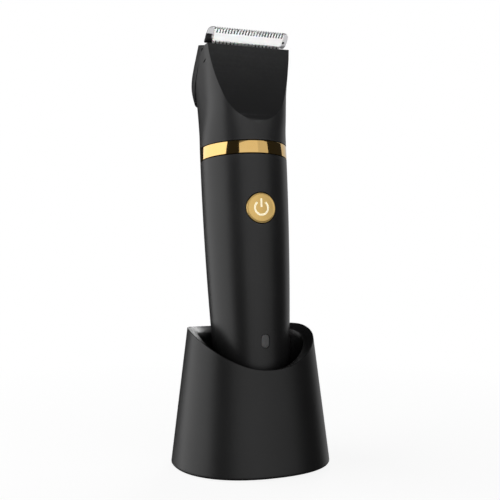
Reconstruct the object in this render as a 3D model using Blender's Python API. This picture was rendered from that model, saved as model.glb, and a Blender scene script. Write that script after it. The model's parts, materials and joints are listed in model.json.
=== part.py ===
"""Body groomer standing in its charging stand.

The world frame has its origin in the middle of the stand's flat foot, +Z up and the front of the
object towards -Y. The groomer leans back in the stand, so its pieces are laid out in a frame of
their own, with +Z along the handle and its origin in the middle of the handle's end. The blade
pieces use a third frame, whose +Z runs up the blade to the tooth tips and whose +Y points to the
skin side. Every length below is in millimetres and is turned into metres when a mesh is made.
"""

import math

import bmesh
import bpy

METRES = 0.001
GAP = 0.3

# ---- where the frames are -------------------------------------------------------------------
LEAN = math.radians(6.5)
GROOMER_FOOT = (0.0, -5.1, 16.0)
BLADE_ORIGIN = (0.0, -8.83, 162.73)
BLADE_LEAN = math.radians(52.0)

# ---- stand ----------------------------------------------------------------------------------
BASE_HALF_WIDTH = 33.95
BASE_FRONT_DEPTH = 30.8
BASE_REAR_DEPTH = 27.4
SIDE_TAPER = 0.0036
FRONT_TAPER = 0.0050
REAR_TAPER = 0.00333
STAND_EXPONENT = 2.25
STAND_WALL = 2.4
STAND_LIFT = 0.3
RIM_HEIGHT = 57.0
RIM_CURVE_RADIUS = 43.0
RIM_CURVE_CENTRE = (8.5, 14.7)
RIM_WIDTH = 4.3
RIM_DROP_BACK = 2.6
RIM_DROP_FRONT = 0.5
RIM_DROP_START = -22.8
RIM_DROP_END = -7.8
CUP_FLOOR_RADIUS = 15.4
CUP_WALL = 2.0
CUP_FLOOR = 2.0
HOLLOW_TOP = 34.0
PAD_HALF_WIDTH = 24.0
PAD_HALF_DEPTH = 19.0
PAD_THICKNESS = 1.1
COVER_BOTTOM = 0.9
COVER_TOP = 3.0
BALLAST_BOTTOM = 3.4
BALLAST_TOP = 9.4
BOARD_BOTTOM = 4.4
BOARD_TOP = 6.0
INLET_HEIGHT = 7.9
INLET_HALF_WIDTH = 4.4
INLET_RADIUS = 1.55

# ---- handle ---------------------------------------------------------------------------------
HANDLE_RADIUS = 18.9
HANDLE_TAPER = 4.65
HANDLE_WALL = 1.9
CAP_TOP = 9.0
CAP_EDGE = 2.0
SHELL_TOP = 113.7
BAND_BOTTOM = 114.0
BAND_TOP = 119.4
SHOULDER = 119.7
SPIGOT_BOTTOM = 108.0
SPIGOT_RADIUS = 16.85
SPIGOT_WALL = 1.7
BUTTON_HEIGHT = 90.9
BUTTON_RADIUS = 6.45
BUTTON_THICKNESS = 3.0
BUTTON_TRAVEL = 0.7
LIGHT_HEIGHT = 35.8
LIGHT_HALF_WIDTH = 1.65
LIGHT_HALF_HEIGHT = 2.85
CONTACT_SPACING = 10.0
CONTACT_RADIUS = 1.9
PIN_RADIUS = 1.0
PIN_FLANGE_RADIUS = 1.7
BOARD_FRONT = -12.0
BOARD_BACK = -10.4
CHASSIS_BACK = -8.4
BATTERY_RADIUS = 7.0
BATTERY_CENTRE = 1.6
BATTERY_BOTTOM = 20.0
BATTERY_TOP = 70.0
MOTOR_RADIUS = 7.8
MOTOR_BOTTOM = 118.0
MOTOR_TOP = 142.0
MOUNT_TOP = 144.4
CAM_BOTTOM = 146.4
CAM_TOP = 148.6
CAM_OFFSET = 1.0
CAM_PIN_RADIUS = 0.8
CAM_PIN_TOP = 152.6

# ---- head -----------------------------------------------------------------------------------
HEAD_WALL = 1.9
FACET_BOTTOM = (-19.2, 127.5)
FACET_TOP = (-12.0, 161.8)
FACET_HOLLOW = 1.2
COVER_GROOVE = 0.6
COVER_WALL = 1.6
COVER_MOUTH = -1.0
# height, half width, front half depth, rear half depth, exponent of the cross-section
HEAD_SECTIONS = (
    (119.7, 18.90, 18.90, 18.90, 2.0),
    (126.0, 18.50, 19.10, 18.90, 2.2),
    (131.0, 18.05, 19.20, 18.90, 2.6),
    (137.0, 17.80, 19.20, 19.00, 3.0),
    (143.0, 17.95, 19.10, 19.00, 3.3),
    (152.0, 18.60, 18.70, 18.00, 4.0),
    (158.0, 19.10, 18.40, 15.50, 4.5),
    (166.0, 19.50, 18.20, 9.00, 5.0),
)
# side view of the cover's top, front to back: y, height
COVER_ROOF = ((-5.7, 162.2), (-4.9, 163.2), (1.0, 165.1), (4.6, 166.2))
COVER_SECTIONS = (
    (140.0, 17.90, 12.00, 18.60, 3.6),
    (142.0, 18.05, 12.00, 19.30, 4.3),
    (146.0, 18.30, 12.00, 20.20, 5.0),
    (150.0, 18.50, 12.00, 20.45, 5.3),
    (154.0, 18.65, 12.00, 18.50, 5.1),
    (158.0, 18.70, 12.00, 13.90, 4.8),
    (161.0, 18.60, 12.00, 10.10, 4.4),
    (164.0, 18.30, 12.00, 6.90, 4.2),
    (169.0, 17.60, 12.00, 3.60, 4.0),
)
# side view of the joint between head housing and rear cover: y, height
PARTING_LINE = (
    (-8.6, 161.5),
    (-7.9, 161.0),
    (-5.6, 160.3),
    (-3.2, 159.3),
    (-1.7, 158.0),
    (0.0, 156.0),
    (2.4, 153.8),
    (5.0, 151.4),
    (7.6, 148.2),
    (9.6, 144.6),
    (10.9, 140.9),
)

# ---- blade, in its own frame ------------------------------------------------------------------
CUTTER_HALF_WIDTH = 15.8
CUTTER_LENGTH = 7.4
CUTTER_THICKNESS = 1.0
CUTTER_TEETH = 24
CUTTER_SLOT_DEPTH = 2.0
SCALLOPS = 19
SCALLOP_DEPTH = 1.5
CUTTER_TRAVEL = 1.0
COMB_HALF_WIDTH = 18.6
COMB_FRONT = 1.2
COMB_BACK = 1.9
COMB_TIP = 7.25
COMB_TEETH = 28
COMB_SLOT_DEPTH = 2.6
COMB_SCREW_PLACE = (13.4, 3.4)
COMB_SCREW_HOLE = 1.0
EAR_BOTTOM = 4.0
WINDOW_HALF_WIDTH = 10.6
WINDOW_TOP = 3.3

ROUND_SEGMENTS = 48
SMALL_SEGMENTS = 16


# ---- materials --------------------------------------------------------------------------------
def make_material(name, colour, roughness, metallic=0.0):
    material = bpy.data.materials.new(name)
    material.use_nodes = True
    shader = material.node_tree.nodes["Principled BSDF"]
    shader.inputs["Base Color"].default_value = (*colour, 1.0)
    shader.inputs["Roughness"].default_value = roughness
    shader.inputs["Metallic"].default_value = metallic
    return material


def make_materials():
    return {
        "black_plastic": make_material("black_plastic", (0.022, 0.022, 0.023), 0.5),
        "soft_black": make_material("soft_black", (0.030, 0.030, 0.031), 0.6),
        "satin_black": make_material("satin_black", (0.018, 0.018, 0.019), 0.4),
        "polished_gold": make_material("polished_gold", (0.80, 0.56, 0.22), 0.08, 1.0),
        "brushed_gold": make_material("brushed_gold", (0.74, 0.50, 0.18), 0.3, 1.0),
        "steel": make_material("steel", (0.62, 0.62, 0.63), 0.28, 1.0),
        "ceramic": make_material("ceramic", (0.92, 0.92, 0.91), 0.2),
        "rubber": make_material("rubber", (0.035, 0.035, 0.035), 0.85),
        "smoked_lens": make_material("smoked_lens", (0.075, 0.075, 0.078), 0.35),
        "circuit_board": make_material("circuit_board", (0.03, 0.16, 0.07), 0.5),
        "battery_wrap": make_material("battery_wrap", (0.10, 0.22, 0.42), 0.4),
        "white_nylon": make_material("white_nylon", (0.75, 0.75, 0.73), 0.5),
        "cast_iron": make_material("cast_iron", (0.20, 0.20, 0.21), 0.6, 1.0),
    }


# ---- mesh helpers -----------------------------------------------------------------------------
def add_object(name, mesh_data, material, parent, origin=(0, 0, 0), sharp_angle=35.0):
    """Link a bmesh laid out in the parent's frame as an object whose own origin is at `origin`."""
    bmesh.ops.translate(mesh_data, verts=mesh_data.verts, vec=[-value for value in origin])
    bmesh.ops.scale(mesh_data, verts=mesh_data.verts, vec=(METRES, METRES, METRES))
    bmesh.ops.recalc_face_normals(mesh_data, faces=mesh_data.faces)
    mesh = bpy.data.meshes.new(name)
    mesh_data.to_mesh(mesh)
    mesh_data.free()
    mesh.shade_smooth()
    mesh.set_sharp_from_angle(angle=math.radians(sharp_angle))
    mesh.materials.append(material)
    item = bpy.data.objects.new(name, mesh)
    bpy.context.scene.collection.objects.link(item)
    item.parent = parent
    item.location = [value * METRES for value in origin]
    return item


def add_empty(name, parent, location, tilt):
    empty = bpy.data.objects.new(name, None)
    bpy.context.scene.collection.objects.link(empty)
    empty.parent = parent
    empty.location = [value * METRES for value in location]
    empty.rotation_euler = (tilt, 0.0, 0.0)
    return empty


def combine(target, tool, operation="DIFFERENCE"):
    """Apply an exact Boolean of `tool` to `target`, and remove the tool."""
    material = target.data.materials[0]
    modifier = target.modifiers.new("combine", "BOOLEAN")
    modifier.operation = operation
    modifier.solver = "EXACT"
    modifier.object = tool
    bpy.context.view_layer.update()
    graph = bpy.context.evaluated_depsgraph_get()
    mesh = bpy.data.meshes.new_from_object(target.evaluated_get(graph))
    target.modifiers.clear()
    target.data = mesh
    mesh.materials.clear()
    mesh.materials.append(material)
    mesh.shade_smooth()
    mesh.set_sharp_from_angle(angle=math.radians(35.0))
    bpy.data.objects.remove(tool)
    return target


def cut_with(target, mesh_data, operation="DIFFERENCE"):
    """Cut `target` with a bmesh laid out in the same parent frame."""
    tool = add_object("tool", mesh_data, target.data.materials[0], target.parent)
    return combine(target, tool, operation)


def oval(half_width, front, rear, exponent, count=ROUND_SEGMENTS):
    """Superellipse outline round the origin, with its own half depth in front (-Y) and behind."""
    points = []
    for index in range(count):
        angle = 2.0 * math.pi * (index + 0.5) / count
        cosine = math.cos(angle)
        sine = math.sin(angle)
        depth = rear if sine > 0 else front
        x = math.copysign(abs(cosine) ** (2.0 / exponent), cosine) * half_width
        y = math.copysign(abs(sine) ** (2.0 / exponent), sine) * depth
        points.append((x, y))
    return points


def circle(radius, count=SMALL_SEGMENTS, centre=(0.0, 0.0)):
    turn = 2.0 * math.pi / count
    return [
        (centre[0] + radius * math.cos(turn * (index + 0.5)), centre[1] + radius * math.sin(turn * (index + 0.5)))
        for index in range(count)
    ]


def at_height(outline, height):
    return [(x, y, height) for x, y in outline]


def loft(rings, closed_loop=False):
    """Closed solid through rings of equal point count: capped at both ends, or looped round."""
    mesh_data = bmesh.new()
    loops = [[mesh_data.verts.new(point) for point in ring] for ring in rings]
    count = len(loops[0])
    pairs = list(zip(loops, loops[1:]))
    if closed_loop:
        pairs.append((loops[-1], loops[0]))
    else:
        mesh_data.faces.new(loops[0][::-1])
        mesh_data.faces.new(loops[-1])
    for lower, upper in pairs:
        for index in range(count):
            after = (index + 1) % count
            mesh_data.faces.new((lower[index], lower[after], upper[after], upper[index]))
    return mesh_data


def turned(profile, count=ROUND_SEGMENTS, centre=(0.0, 0.0), closed_loop=False):
    """Solid of revolution about +Z through (radius, height) points."""
    return loft([at_height(circle(radius, count, centre), height) for radius, height in profile], closed_loop)


def tube(outer, inner, low, high, count=ROUND_SEGMENTS, centre=(0.0, 0.0)):
    profile = ((outer, low), (outer, high), (inner, high), (inner, low))
    return turned(profile, count, centre, closed_loop=True)


def box(low, high):
    outline = [(low[0], low[1]), (high[0], low[1]), (high[0], high[1]), (low[0], high[1])]
    return loft([at_height(outline, low[2]), at_height(outline, high[2])])


def prism_x(outline, low, high):
    """Extrude a (y, z) outline along X."""
    return loft([[(low, y, z) for y, z in outline], [(high, y, z) for y, z in outline]])


def prism_y(outline, low, high):
    """Extrude an (x, z) outline along Y."""
    return loft([[(x, low, z) for x, z in outline], [(x, high, z) for x, z in outline]])


def pill(half_width, half_height, count=12):
    """Upright slot outline in (x, z) with round ends."""
    points = []
    straight = half_height - half_width
    for index in range(count + 1):
        angle = math.pi * index / count
        points.append((half_width * math.cos(angle), straight + half_width * math.sin(angle)))
    points += [(-x, -z) for x, z in points]
    return points


def moved(outline, shift_a, shift_b):
    return [(a + shift_a, b + shift_b) for a, b in outline]


# ---- stand ------------------------------------------------------------------------------------
def stand_outline(height, inset=0.0, count=ROUND_SEGMENTS):
    half_width = BASE_HALF_WIDTH * (1.0 - SIDE_TAPER * height) - inset
    front = BASE_FRONT_DEPTH * (1.0 - FRONT_TAPER * height) - inset
    rear = BASE_REAR_DEPTH * (1.0 - REAR_TAPER * height) - inset
    return oval(half_width, front, rear, STAND_EXPONENT, count)


def rim_height(y):
    """Height of the stand's edge in side view: square to the handle behind, sweeping down in front."""
    slope = math.tan(LEAN)
    centre_y, centre_z = RIM_CURVE_CENTRE
    tangent_y = centre_y + RIM_CURVE_RADIUS * math.sin(LEAN)
    if y >= tangent_y:
        tangent_z = centre_z + RIM_CURVE_RADIUS * math.cos(LEAN)
        return tangent_z - slope * (y - tangent_y)
    return centre_z + math.sqrt(RIM_CURVE_RADIUS ** 2 - (y - centre_y) ** 2)


def rim_ring(inset):
    """Points on the stand's side at the rim's height, moved inwards by `inset`."""
    ring = []
    for index in range(ROUND_SEGMENTS):
        height = RIM_HEIGHT
        for _ in range(12):
            height = rim_height(stand_outline(height)[index][1])
        x, y = stand_outline(height, inset)[index]
        ring.append((x, y, height))
    return ring


def rim_drop(point):
    """How far the sloping lead-in falls across the rim, from front to back."""
    share = min(1.0, max(0.0, (point[1] - RIM_DROP_START) / (RIM_DROP_END - RIM_DROP_START)))
    return RIM_DROP_FRONT + (RIM_DROP_BACK - RIM_DROP_FRONT) * share


def cup_floor_ring(radius, height):
    """Ring round the handle's axis, square to it, at a height along the handle."""
    ring = []
    for x, y in circle(radius, ROUND_SEGMENTS):
        across = y * math.cos(LEAN) + height * math.sin(LEAN)
        up = height * math.cos(LEAN) - y * math.sin(LEAN)
        ring.append((x, GROOMER_FOOT[1] + across, GROOMER_FOOT[2] + up))
    return ring


def blend_rings(first, second, share, height_share=None):
    """Ring part of the way from one ring to another, with its own share for the height."""
    rise = share if height_share is None else height_share
    ring = []
    for start, end in zip(first, second):
        x = start[0] + (end[0] - start[0]) * share
        y = start[1] + (end[1] - start[1]) * share
        ring.append((x, y, start[2] + (end[2] - start[2]) * rise))
    return ring


def stand_shell(materials, parent):
    rim_outer = rim_ring(0.0)
    rim_inner = [(x, y, z - rim_drop((x, y))) for x, y, z in rim_ring(RIM_WIDTH)]
    floor_top = cup_floor_ring(CUP_FLOOR_RADIUS, -GAP)
    floor_under = cup_floor_ring(CUP_FLOOR_RADIUS + CUP_WALL, -GAP - CUP_FLOOR)
    rings = [at_height(stand_outline(STAND_LIFT, 0.8), STAND_LIFT)]
    rings.append(at_height(stand_outline(STAND_LIFT + 0.4, 0.3), STAND_LIFT + 0.4))
    lower_side = at_height(stand_outline(STAND_LIFT + 1.4), STAND_LIFT + 1.4)
    rings += [blend_rings(lower_side, rim_outer, share) for share in (0.0, 0.35, 0.7, 1.0)]
    rings += [rim_inner]
    rings += [blend_rings(rim_inner, floor_top, height ** 1.6, height) for height in (0.15, 0.4, 0.7)]
    rings += [floor_top]
    outer = loft(rings)
    shell = add_object("stand_shell", outer, materials["soft_black"], parent)

    hollow = [at_height(stand_outline(-1.0, STAND_WALL), -1.0)]
    hollow.append(at_height(stand_outline(HOLLOW_TOP, STAND_WALL), HOLLOW_TOP))
    hollow_tool = add_object("hollow", loft(hollow), materials["soft_black"], parent)
    cup_body = [floor_under, blend_rings(floor_under, cup_floor_ring(CUP_FLOOR_RADIUS + CUP_WALL, 12.0), 0.5)]
    cup_outer_top = [(x, y, HOLLOW_TOP + 3.0) for x, y in oval(23.0, 21.5, 19.5, 2.2)]
    cup_body.append(cup_outer_top)
    hollow_tool = combine(hollow_tool, add_object("cup", loft(cup_body), materials["soft_black"], parent))
    shell = combine(shell, hollow_tool)

    for side in (-1, 1):
        hole = turned(((PIN_RADIUS + 0.35, -6.0), (PIN_RADIUS + 0.35, 2.0)), 12, (side * CONTACT_SPACING / 2, 0.0))
        tool = add_object("pin_hole", hole, materials["soft_black"], bpy.data.objects["groomer_frame"])
        shell = combine(shell, tool)
    inlet = moved([(z, x) for x, z in pill(INLET_RADIUS + 0.3, INLET_HALF_WIDTH + 0.3)], 0.0, INLET_HEIGHT)
    return cut_with(shell, prism_y(inlet, 20.0, 40.0))


def stand_base_cover(materials, parent):
    outline = stand_outline(0.0, STAND_WALL + 1.2)
    cover = add_object(
        "stand_base_cover",
        loft([at_height(outline, COVER_BOTTOM), at_height(outline, COVER_TOP)]),
        materials["black_plastic"],
        parent,
    )
    recess = oval(PAD_HALF_WIDTH + GAP, PAD_HALF_DEPTH + GAP, PAD_HALF_DEPTH + GAP, 2.2)
    cover = cut_with(cover, loft([at_height(recess, -1.0), at_height(recess, PAD_THICKNESS + GAP)]))
    for x, y in screw_places():
        cover = cut_with(cover, turned(((2.3, -1.0), (2.3, 2.0), (1.3, 2.0), (1.3, 5.0)), 12, (x, y)))
    return cover


def stand_pad(materials, parent):
    outline = oval(PAD_HALF_WIDTH, PAD_HALF_DEPTH, PAD_HALF_DEPTH, 2.2)
    edge = oval(PAD_HALF_WIDTH - 0.3, PAD_HALF_DEPTH - 0.3, PAD_HALF_DEPTH - 0.3, 2.2)
    rings = [at_height(edge, 0.0), at_height(outline, 0.3), at_height(outline, PAD_THICKNESS)]
    return add_object("stand_pad", loft(rings), materials["rubber"], parent)


def screw_places():
    """The base screws sit outside the pad, one on each side and one in front."""
    return ((-27.6, 0.0), (27.6, 0.0), (0.0, -22.0))


def base_screw(name, place, materials, parent):
    profile = ((1.0, 1.0), (2.0, 1.0), (2.0, 1.75), (1.0, 1.75), (1.0, 3.2))
    head = turned(profile, 12, place)
    return add_object(name, head, materials["steel"], parent, (place[0], place[1], 1.0))


def stand_ballast(materials, parent):
    outline = oval(25.0, 22.0, 22.0, 2.2)
    hole = oval(19.0, 17.0, 17.0, 2.2)
    ballast = add_object(
        "stand_ballast",
        loft([at_height(outline, BALLAST_BOTTOM), at_height(outline, BALLAST_TOP)]),
        materials["cast_iron"],
        parent,
    )
    ballast = cut_with(ballast, loft([at_height(hole, 0.0), at_height(hole, 20.0)]))
    return cut_with(ballast, box((-8.0, 8.0, 0.0), (8.0, 40.0, 20.0)))


def stand_board(materials, parent):
    outline = ((-12.0, -12.0), (12.0, -12.0), (12.0, 11.0), (7.0, 11.0), (7.0, 20.5), (-7.0, 20.5), (-7.0, 11.0), (-12.0, 11.0))
    return add_object(
        "stand_charging_board",
        loft([at_height(outline, BOARD_BOTTOM), at_height(outline, BOARD_TOP)]),
        materials["circuit_board"],
        parent,
    )


def stand_inlet(materials, parent):
    """Flat oval inlet shell, closed behind, with the contact tongue in its mouth."""
    outer = moved([(z, x) for x, z in pill(INLET_RADIUS, INLET_HALF_WIDTH)], 0.0, INLET_HEIGHT)
    mouth = moved([(z, x) for x, z in pill(INLET_RADIUS - 0.3, INLET_HALF_WIDTH - 0.3)], 0.0, INLET_HEIGHT)
    inlet = add_object("stand_inlet", prism_y(outer, 19.5, 26.6), materials["steel"], parent)
    inlet = cut_with(inlet, prism_y(mouth, 20.5, 30.0))
    tongue = box((-3.3, 20.0, INLET_HEIGHT - 0.35), (3.3, 25.4, INLET_HEIGHT + 0.35))
    return cut_with(inlet, tongue, "UNION")


def pin_guide(materials, parent):
    """Block under the cup's floor that the charging pins slide in."""
    block = add_object("pin_guide", box((-8.5, -3.2, -8.6), (8.5, 3.2, -2.7)), materials["black_plastic"], parent)
    for side in (-1, 1):
        centre = (side * CONTACT_SPACING / 2, 0.0)
        bore = ((PIN_FLANGE_RADIUS + 0.3, -7.6), (PIN_FLANGE_RADIUS + 0.3, 0.0))
        block = cut_with(block, turned(bore, SMALL_SEGMENTS, centre))
        block = cut_with(block, turned(((0.6, -10.0), (0.6, -7.0)), 8, centre))
    return block


def charging_pin(name, side, materials, parent):
    profile = ((0.5, -4.6), (PIN_FLANGE_RADIUS, -4.6), (PIN_FLANGE_RADIUS, -3.6), (PIN_RADIUS, -3.6))
    profile += ((PIN_RADIUS, 0.0), (0.7, 0.3))
    centre = (side * CONTACT_SPACING / 2, 0.0)
    return add_object(name, turned(profile, SMALL_SEGMENTS, centre), materials["polished_gold"], parent, (*centre, -4.6))


def coil_spring(name, centre, radius, wire, low, high, turns, materials, parent):
    """Round wire wound about +Z, with flat capped ends."""
    steps = 10 * turns
    sides = 5
    rings = []
    pitch = (high - low - 2.0 * wire) / turns
    for step in range(steps + 1):
        angle = 2.0 * math.pi * step / 10
        middle = low + wire + pitch * step / 10
        ring = []
        for side in range(sides):
            around = 2.0 * math.pi * side / sides
            reach = radius + wire * math.cos(around)
            x = centre[0] + reach * math.cos(angle)
            y = centre[1] + reach * math.sin(angle)
            ring.append((x, y, middle + wire * math.sin(around)))
        rings.append(ring)
    return add_object(name, loft(rings), materials["steel"], parent, (*centre, low))


# ---- handle -----------------------------------------------------------------------------------
def handle_radius(height):
    return HANDLE_RADIUS - HANDLE_TAPER * (1.0 - height / BAND_TOP) ** 2


def steps_between(low, high, count):
    return [low + (high - low) * index / count for index in range(count + 1)]


def handle_shell(materials, parent):
    heights = steps_between(CAP_TOP + GAP, SHELL_TOP, 7)
    profile = [(handle_radius(height), height) for height in heights]
    profile += [(handle_radius(height) - HANDLE_WALL, height) for height in reversed(heights)]
    shell = add_object("handle_shell", turned(profile, closed_loop=True), materials["soft_black"], parent)
    button_hole = moved(circle(BUTTON_RADIUS + 0.3, 32), 0.0, BUTTON_HEIGHT)
    shell = cut_with(shell, prism_y(button_hole, -25.0, -10.0))
    light_hole = moved(pill(LIGHT_HALF_WIDTH + 0.1, LIGHT_HALF_HEIGHT + 0.1), 0.0, LIGHT_HEIGHT)
    return cut_with(shell, prism_y(light_hole, -25.0, -10.0))


def end_cap(materials, parent):
    inner = handle_radius(CAP_TOP) - HANDLE_WALL - GAP
    edge = [
        (handle_radius(0.0) - CAP_EDGE * (1.0 - math.sin(angle)), CAP_EDGE * (1.0 - math.cos(angle)))
        for angle in (0.0, math.pi / 6, math.pi / 3, math.pi / 2)
    ]
    profile = edge + [(handle_radius(CAP_TOP), CAP_TOP), (inner, CAP_TOP), (inner, CAP_TOP + 3.6)]
    profile += [(inner - 1.6, CAP_TOP + 3.6), (inner - 1.6, 3.0)]
    cap = add_object("end_cap", turned(profile), materials["soft_black"], parent)
    for side in (-1, 1):
        hole = turned(((CONTACT_RADIUS + 0.1, -1.0), (CONTACT_RADIUS + 0.1, 6.0)), SMALL_SEGMENTS, (side * CONTACT_SPACING / 2, 0.0))
        cap = cut_with(cap, hole)
    return cap


def charging_contact(name, side, materials, parent):
    profile = ((CONTACT_RADIUS, 0.6), (CONTACT_RADIUS, 3.4), (0.6, 3.4), (0.6, 6.0))
    centre = (side * CONTACT_SPACING / 2, 0.0)
    return add_object(name, turned(profile, SMALL_SEGMENTS, centre), materials["polished_gold"], parent)


def chassis(materials, parent):
    """Backbone of the handle: a flat plate with round bulkheads, pierced for the battery."""
    frame = add_object("chassis", box((-8.0, BOARD_BACK + GAP, 14.0), (8.0, CHASSIS_BACK, 116.0)), materials["black_plastic"], parent)
    for low, high, radius in ((14.0, 16.0, 12.4), (72.0, 74.0, 15.2), (110.0, 112.0, 14.2)):
        bulkhead = turned(((radius, low), (radius, high)), 24)
        frame = cut_with(frame, bulkhead, "UNION")
        frame = cut_with(frame, box((-20.0, -20.0, low - 0.5), (20.0, BOARD_BACK + GAP, high + 0.5)))
    return frame


def battery(materials, parent):
    profile = ((BATTERY_RADIUS, BATTERY_BOTTOM), (BATTERY_RADIUS, BATTERY_TOP - 1.2), (2.6, BATTERY_TOP - 1.2), (2.6, BATTERY_TOP))
    return add_object("battery_cell", turned(profile, 24, (0.0, BATTERY_CENTRE)), materials["battery_wrap"], parent)


def battery_tab(name, low, materials, parent):
    plate = box((-4.0, BATTERY_CENTRE - 5.0, low), (4.0, BATTERY_CENTRE + 5.0, low + 0.4))
    return add_object(name, plate, materials["steel"], parent)


def main_board(materials, parent):
    board = box((-7.5, BOARD_FRONT, 28.0), (7.5, BOARD_BACK, 106.0))
    return add_object("main_board", board, materials["circuit_board"], parent)


def tact_switch(materials, parent):
    """Small square switch on the board, with its round plunger."""
    low = BUTTON_HEIGHT - 3.0
    switch = add_object("tact_switch", box((-3.0, -13.4, low), (3.0, BOARD_FRONT - GAP, low + 6.0)), materials["satin_black"], parent)
    plunger = moved(circle(1.2, 12), 0.0, BUTTON_HEIGHT)
    return cut_with(switch, prism_y(plunger, -13.9, -13.0), "UNION")


def button_membrane(materials, parent):
    outline = moved(circle(6.9, 24), 0.0, BUTTON_HEIGHT)
    return add_object("button_membrane", prism_y(outline, -14.6, -14.2), materials["rubber"], parent, (0, -14.4, BUTTON_HEIGHT))


def power_button(materials, parent):
    """Round cap whose face follows the handle, in its hole above the switch."""
    outline = moved(circle(BUTTON_RADIUS, 32), 0.0, BUTTON_HEIGHT)
    origin = (0, -handle_radius(BUTTON_HEIGHT), BUTTON_HEIGHT)
    button = add_object("power_button", prism_y(outline, -24.0, -16.1), materials["brushed_gold"], parent, origin)
    sleeve = tube(30.0, handle_radius(BUTTON_HEIGHT) + 0.05, BUTTON_HEIGHT - 20, BUTTON_HEIGHT + 20)
    button = cut_with(button, sleeve)
    stem = moved(circle(3.0, SMALL_SEGMENTS), 0.0, BUTTON_HEIGHT)
    return cut_with(button, prism_y(stem, -16.4, -14.6 - GAP - BUTTON_TRAVEL), "UNION")


def light_pipe(materials, parent):
    outline = moved(pill(LIGHT_HALF_WIDTH, LIGHT_HALF_HEIGHT), 0.0, LIGHT_HEIGHT)
    front = -handle_radius(LIGHT_HEIGHT) + 0.05
    return add_object("light_pipe", prism_y(outline, front, -13.6), materials["smoked_lens"], parent)


def status_led(materials, parent):
    low = LIGHT_HEIGHT - 1.0
    return add_object("status_led", box((-0.8, -13.0, low), (0.8, BOARD_FRONT - GAP, low + 2.0)), materials["white_nylon"], parent)


def gold_band(materials, parent):
    outer = HANDLE_RADIUS
    inner = SPIGOT_RADIUS + GAP
    profile = ((outer - 0.15, BAND_BOTTOM), (outer, BAND_BOTTOM + 0.2), (outer, BAND_TOP - 0.2), (outer - 0.15, BAND_TOP))
    profile += ((inner, BAND_TOP), (inner, BAND_BOTTOM))
    return add_object("gold_band", turned(profile, 64, closed_loop=True), materials["polished_gold"], parent)


# ---- head -------------------------------------------------------------------------------------
def head_ring(section, inset=0.0):
    height, half_width, front, rear, exponent = section
    return at_height(oval(half_width - inset, front - inset, rear - inset, exponent), height)


def facet_outline(inset=0.0):
    """Side outline (y, z) of everything in front of the head's slightly hollow facet."""
    low_y, low_z = FACET_BOTTOM
    high_y, high_z = FACET_TOP
    points = []
    for index in range(9):
        share = index / 8 * 1.12
        y = low_y + (high_y - low_y) * share + 4.0 * FACET_HOLLOW * share * (1.0 - share)
        points.append((y + inset, low_z + (high_z - low_z) * share))
    return points + [(-40.0, points[-1][1]), (-40.0, low_z)]


def housing_side():
    """Side outline (y, z) of the head housing, up to its joint with the rear cover."""
    top = [(-40.0, FACET_TOP[1]), FACET_TOP, (-9.2, 161.7)]
    return [(-40.0, 100.0)] + top + list(PARTING_LINE) + [(40.0, 140.9), (40.0, 100.0)]


def cover_side():
    joint = [(y + COVER_GROOVE, z + COVER_GROOVE) for y, z in PARTING_LINE]
    top = list(reversed(COVER_ROOF))
    return joint + [(40.0, 140.9 + COVER_GROOVE), (40.0, 180.0), (top[0][0], 180.0)] + top


def head_housing(materials, parent):
    solid = loft([head_ring(section) for section in HEAD_SECTIONS])
    housing = add_object("head_housing", solid, materials["soft_black"], parent)
    housing = cut_with(housing, prism_x(facet_outline(), -40.0, 40.0))
    housing = cut_with(housing, prism_x(housing_side(), -40.0, 40.0), "INTERSECT")
    spigot = turned(((SPIGOT_RADIUS, SPIGOT_BOTTOM), (SPIGOT_RADIUS, SHOULDER + 1.0)))
    housing = cut_with(housing, spigot, "UNION")
    inside = [at_height(circle(SPIGOT_RADIUS - SPIGOT_WALL, ROUND_SEGMENTS), SPIGOT_BOTTOM - 1.0)]
    inside.append(at_height(circle(SPIGOT_RADIUS - SPIGOT_WALL, ROUND_SEGMENTS), SHOULDER))
    inside += [head_ring(section, HEAD_WALL) for section in HEAD_SECTIONS[1:]]
    hollow = add_object("hollow", loft(inside), materials["soft_black"], parent)
    facet = prism_x(facet_outline(HEAD_WALL), -40.0, 40.0)
    hollow = combine(hollow, add_object("facet", facet, materials["soft_black"], parent))
    return combine(housing, hollow)


def rear_cover(materials, parent):
    solid = loft([head_ring(section) for section in COVER_SECTIONS])
    cover = add_object("rear_cover", solid, materials["satin_black"], parent)
    cover = cut_with(cover, prism_x(cover_side(), -40.0, 40.0), "INTERSECT")
    inside = [head_ring(section, COVER_WALL) for section in COVER_SECTIONS]
    inside[0] = [(x, y, z - 3.0) for x, y, z in inside[0]]
    hollow = add_object("hollow", loft(inside), materials["satin_black"], parent)
    under = [(-30.0, 130.0), (-30.0, COVER_ROOF[0][1] - COVER_WALL)]
    under += [(y - 0.3, z - COVER_WALL) for y, z in COVER_ROOF[1:]] + [(40.0, 168.0), (40.0, 130.0)]
    hollow = cut_with(hollow, prism_x(under, -40.0, 40.0), "INTERSECT")
    cover = combine(cover, hollow)
    return cut_with(cover, box((-15.6, -10.0, 155.0), (15.6, COVER_MOUTH, 170.0)))


def neck_seal(materials, parent):
    seal = tube(SPIGOT_RADIUS - 0.1, SPIGOT_RADIUS - 1.5, SPIGOT_BOTTOM - GAP - 1.2, SPIGOT_BOTTOM - GAP)
    return add_object("neck_seal", seal, materials["rubber"], parent)


def end_cap_seal(materials, parent):
    inner = handle_radius(CAP_TOP) - HANDLE_WALL - GAP
    low = CAP_TOP + 3.6 + GAP
    seal = tube(inner, inner - 1.3, low, low + 1.0, 32)
    return add_object("end_cap_seal", seal, materials["rubber"], parent)


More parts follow.
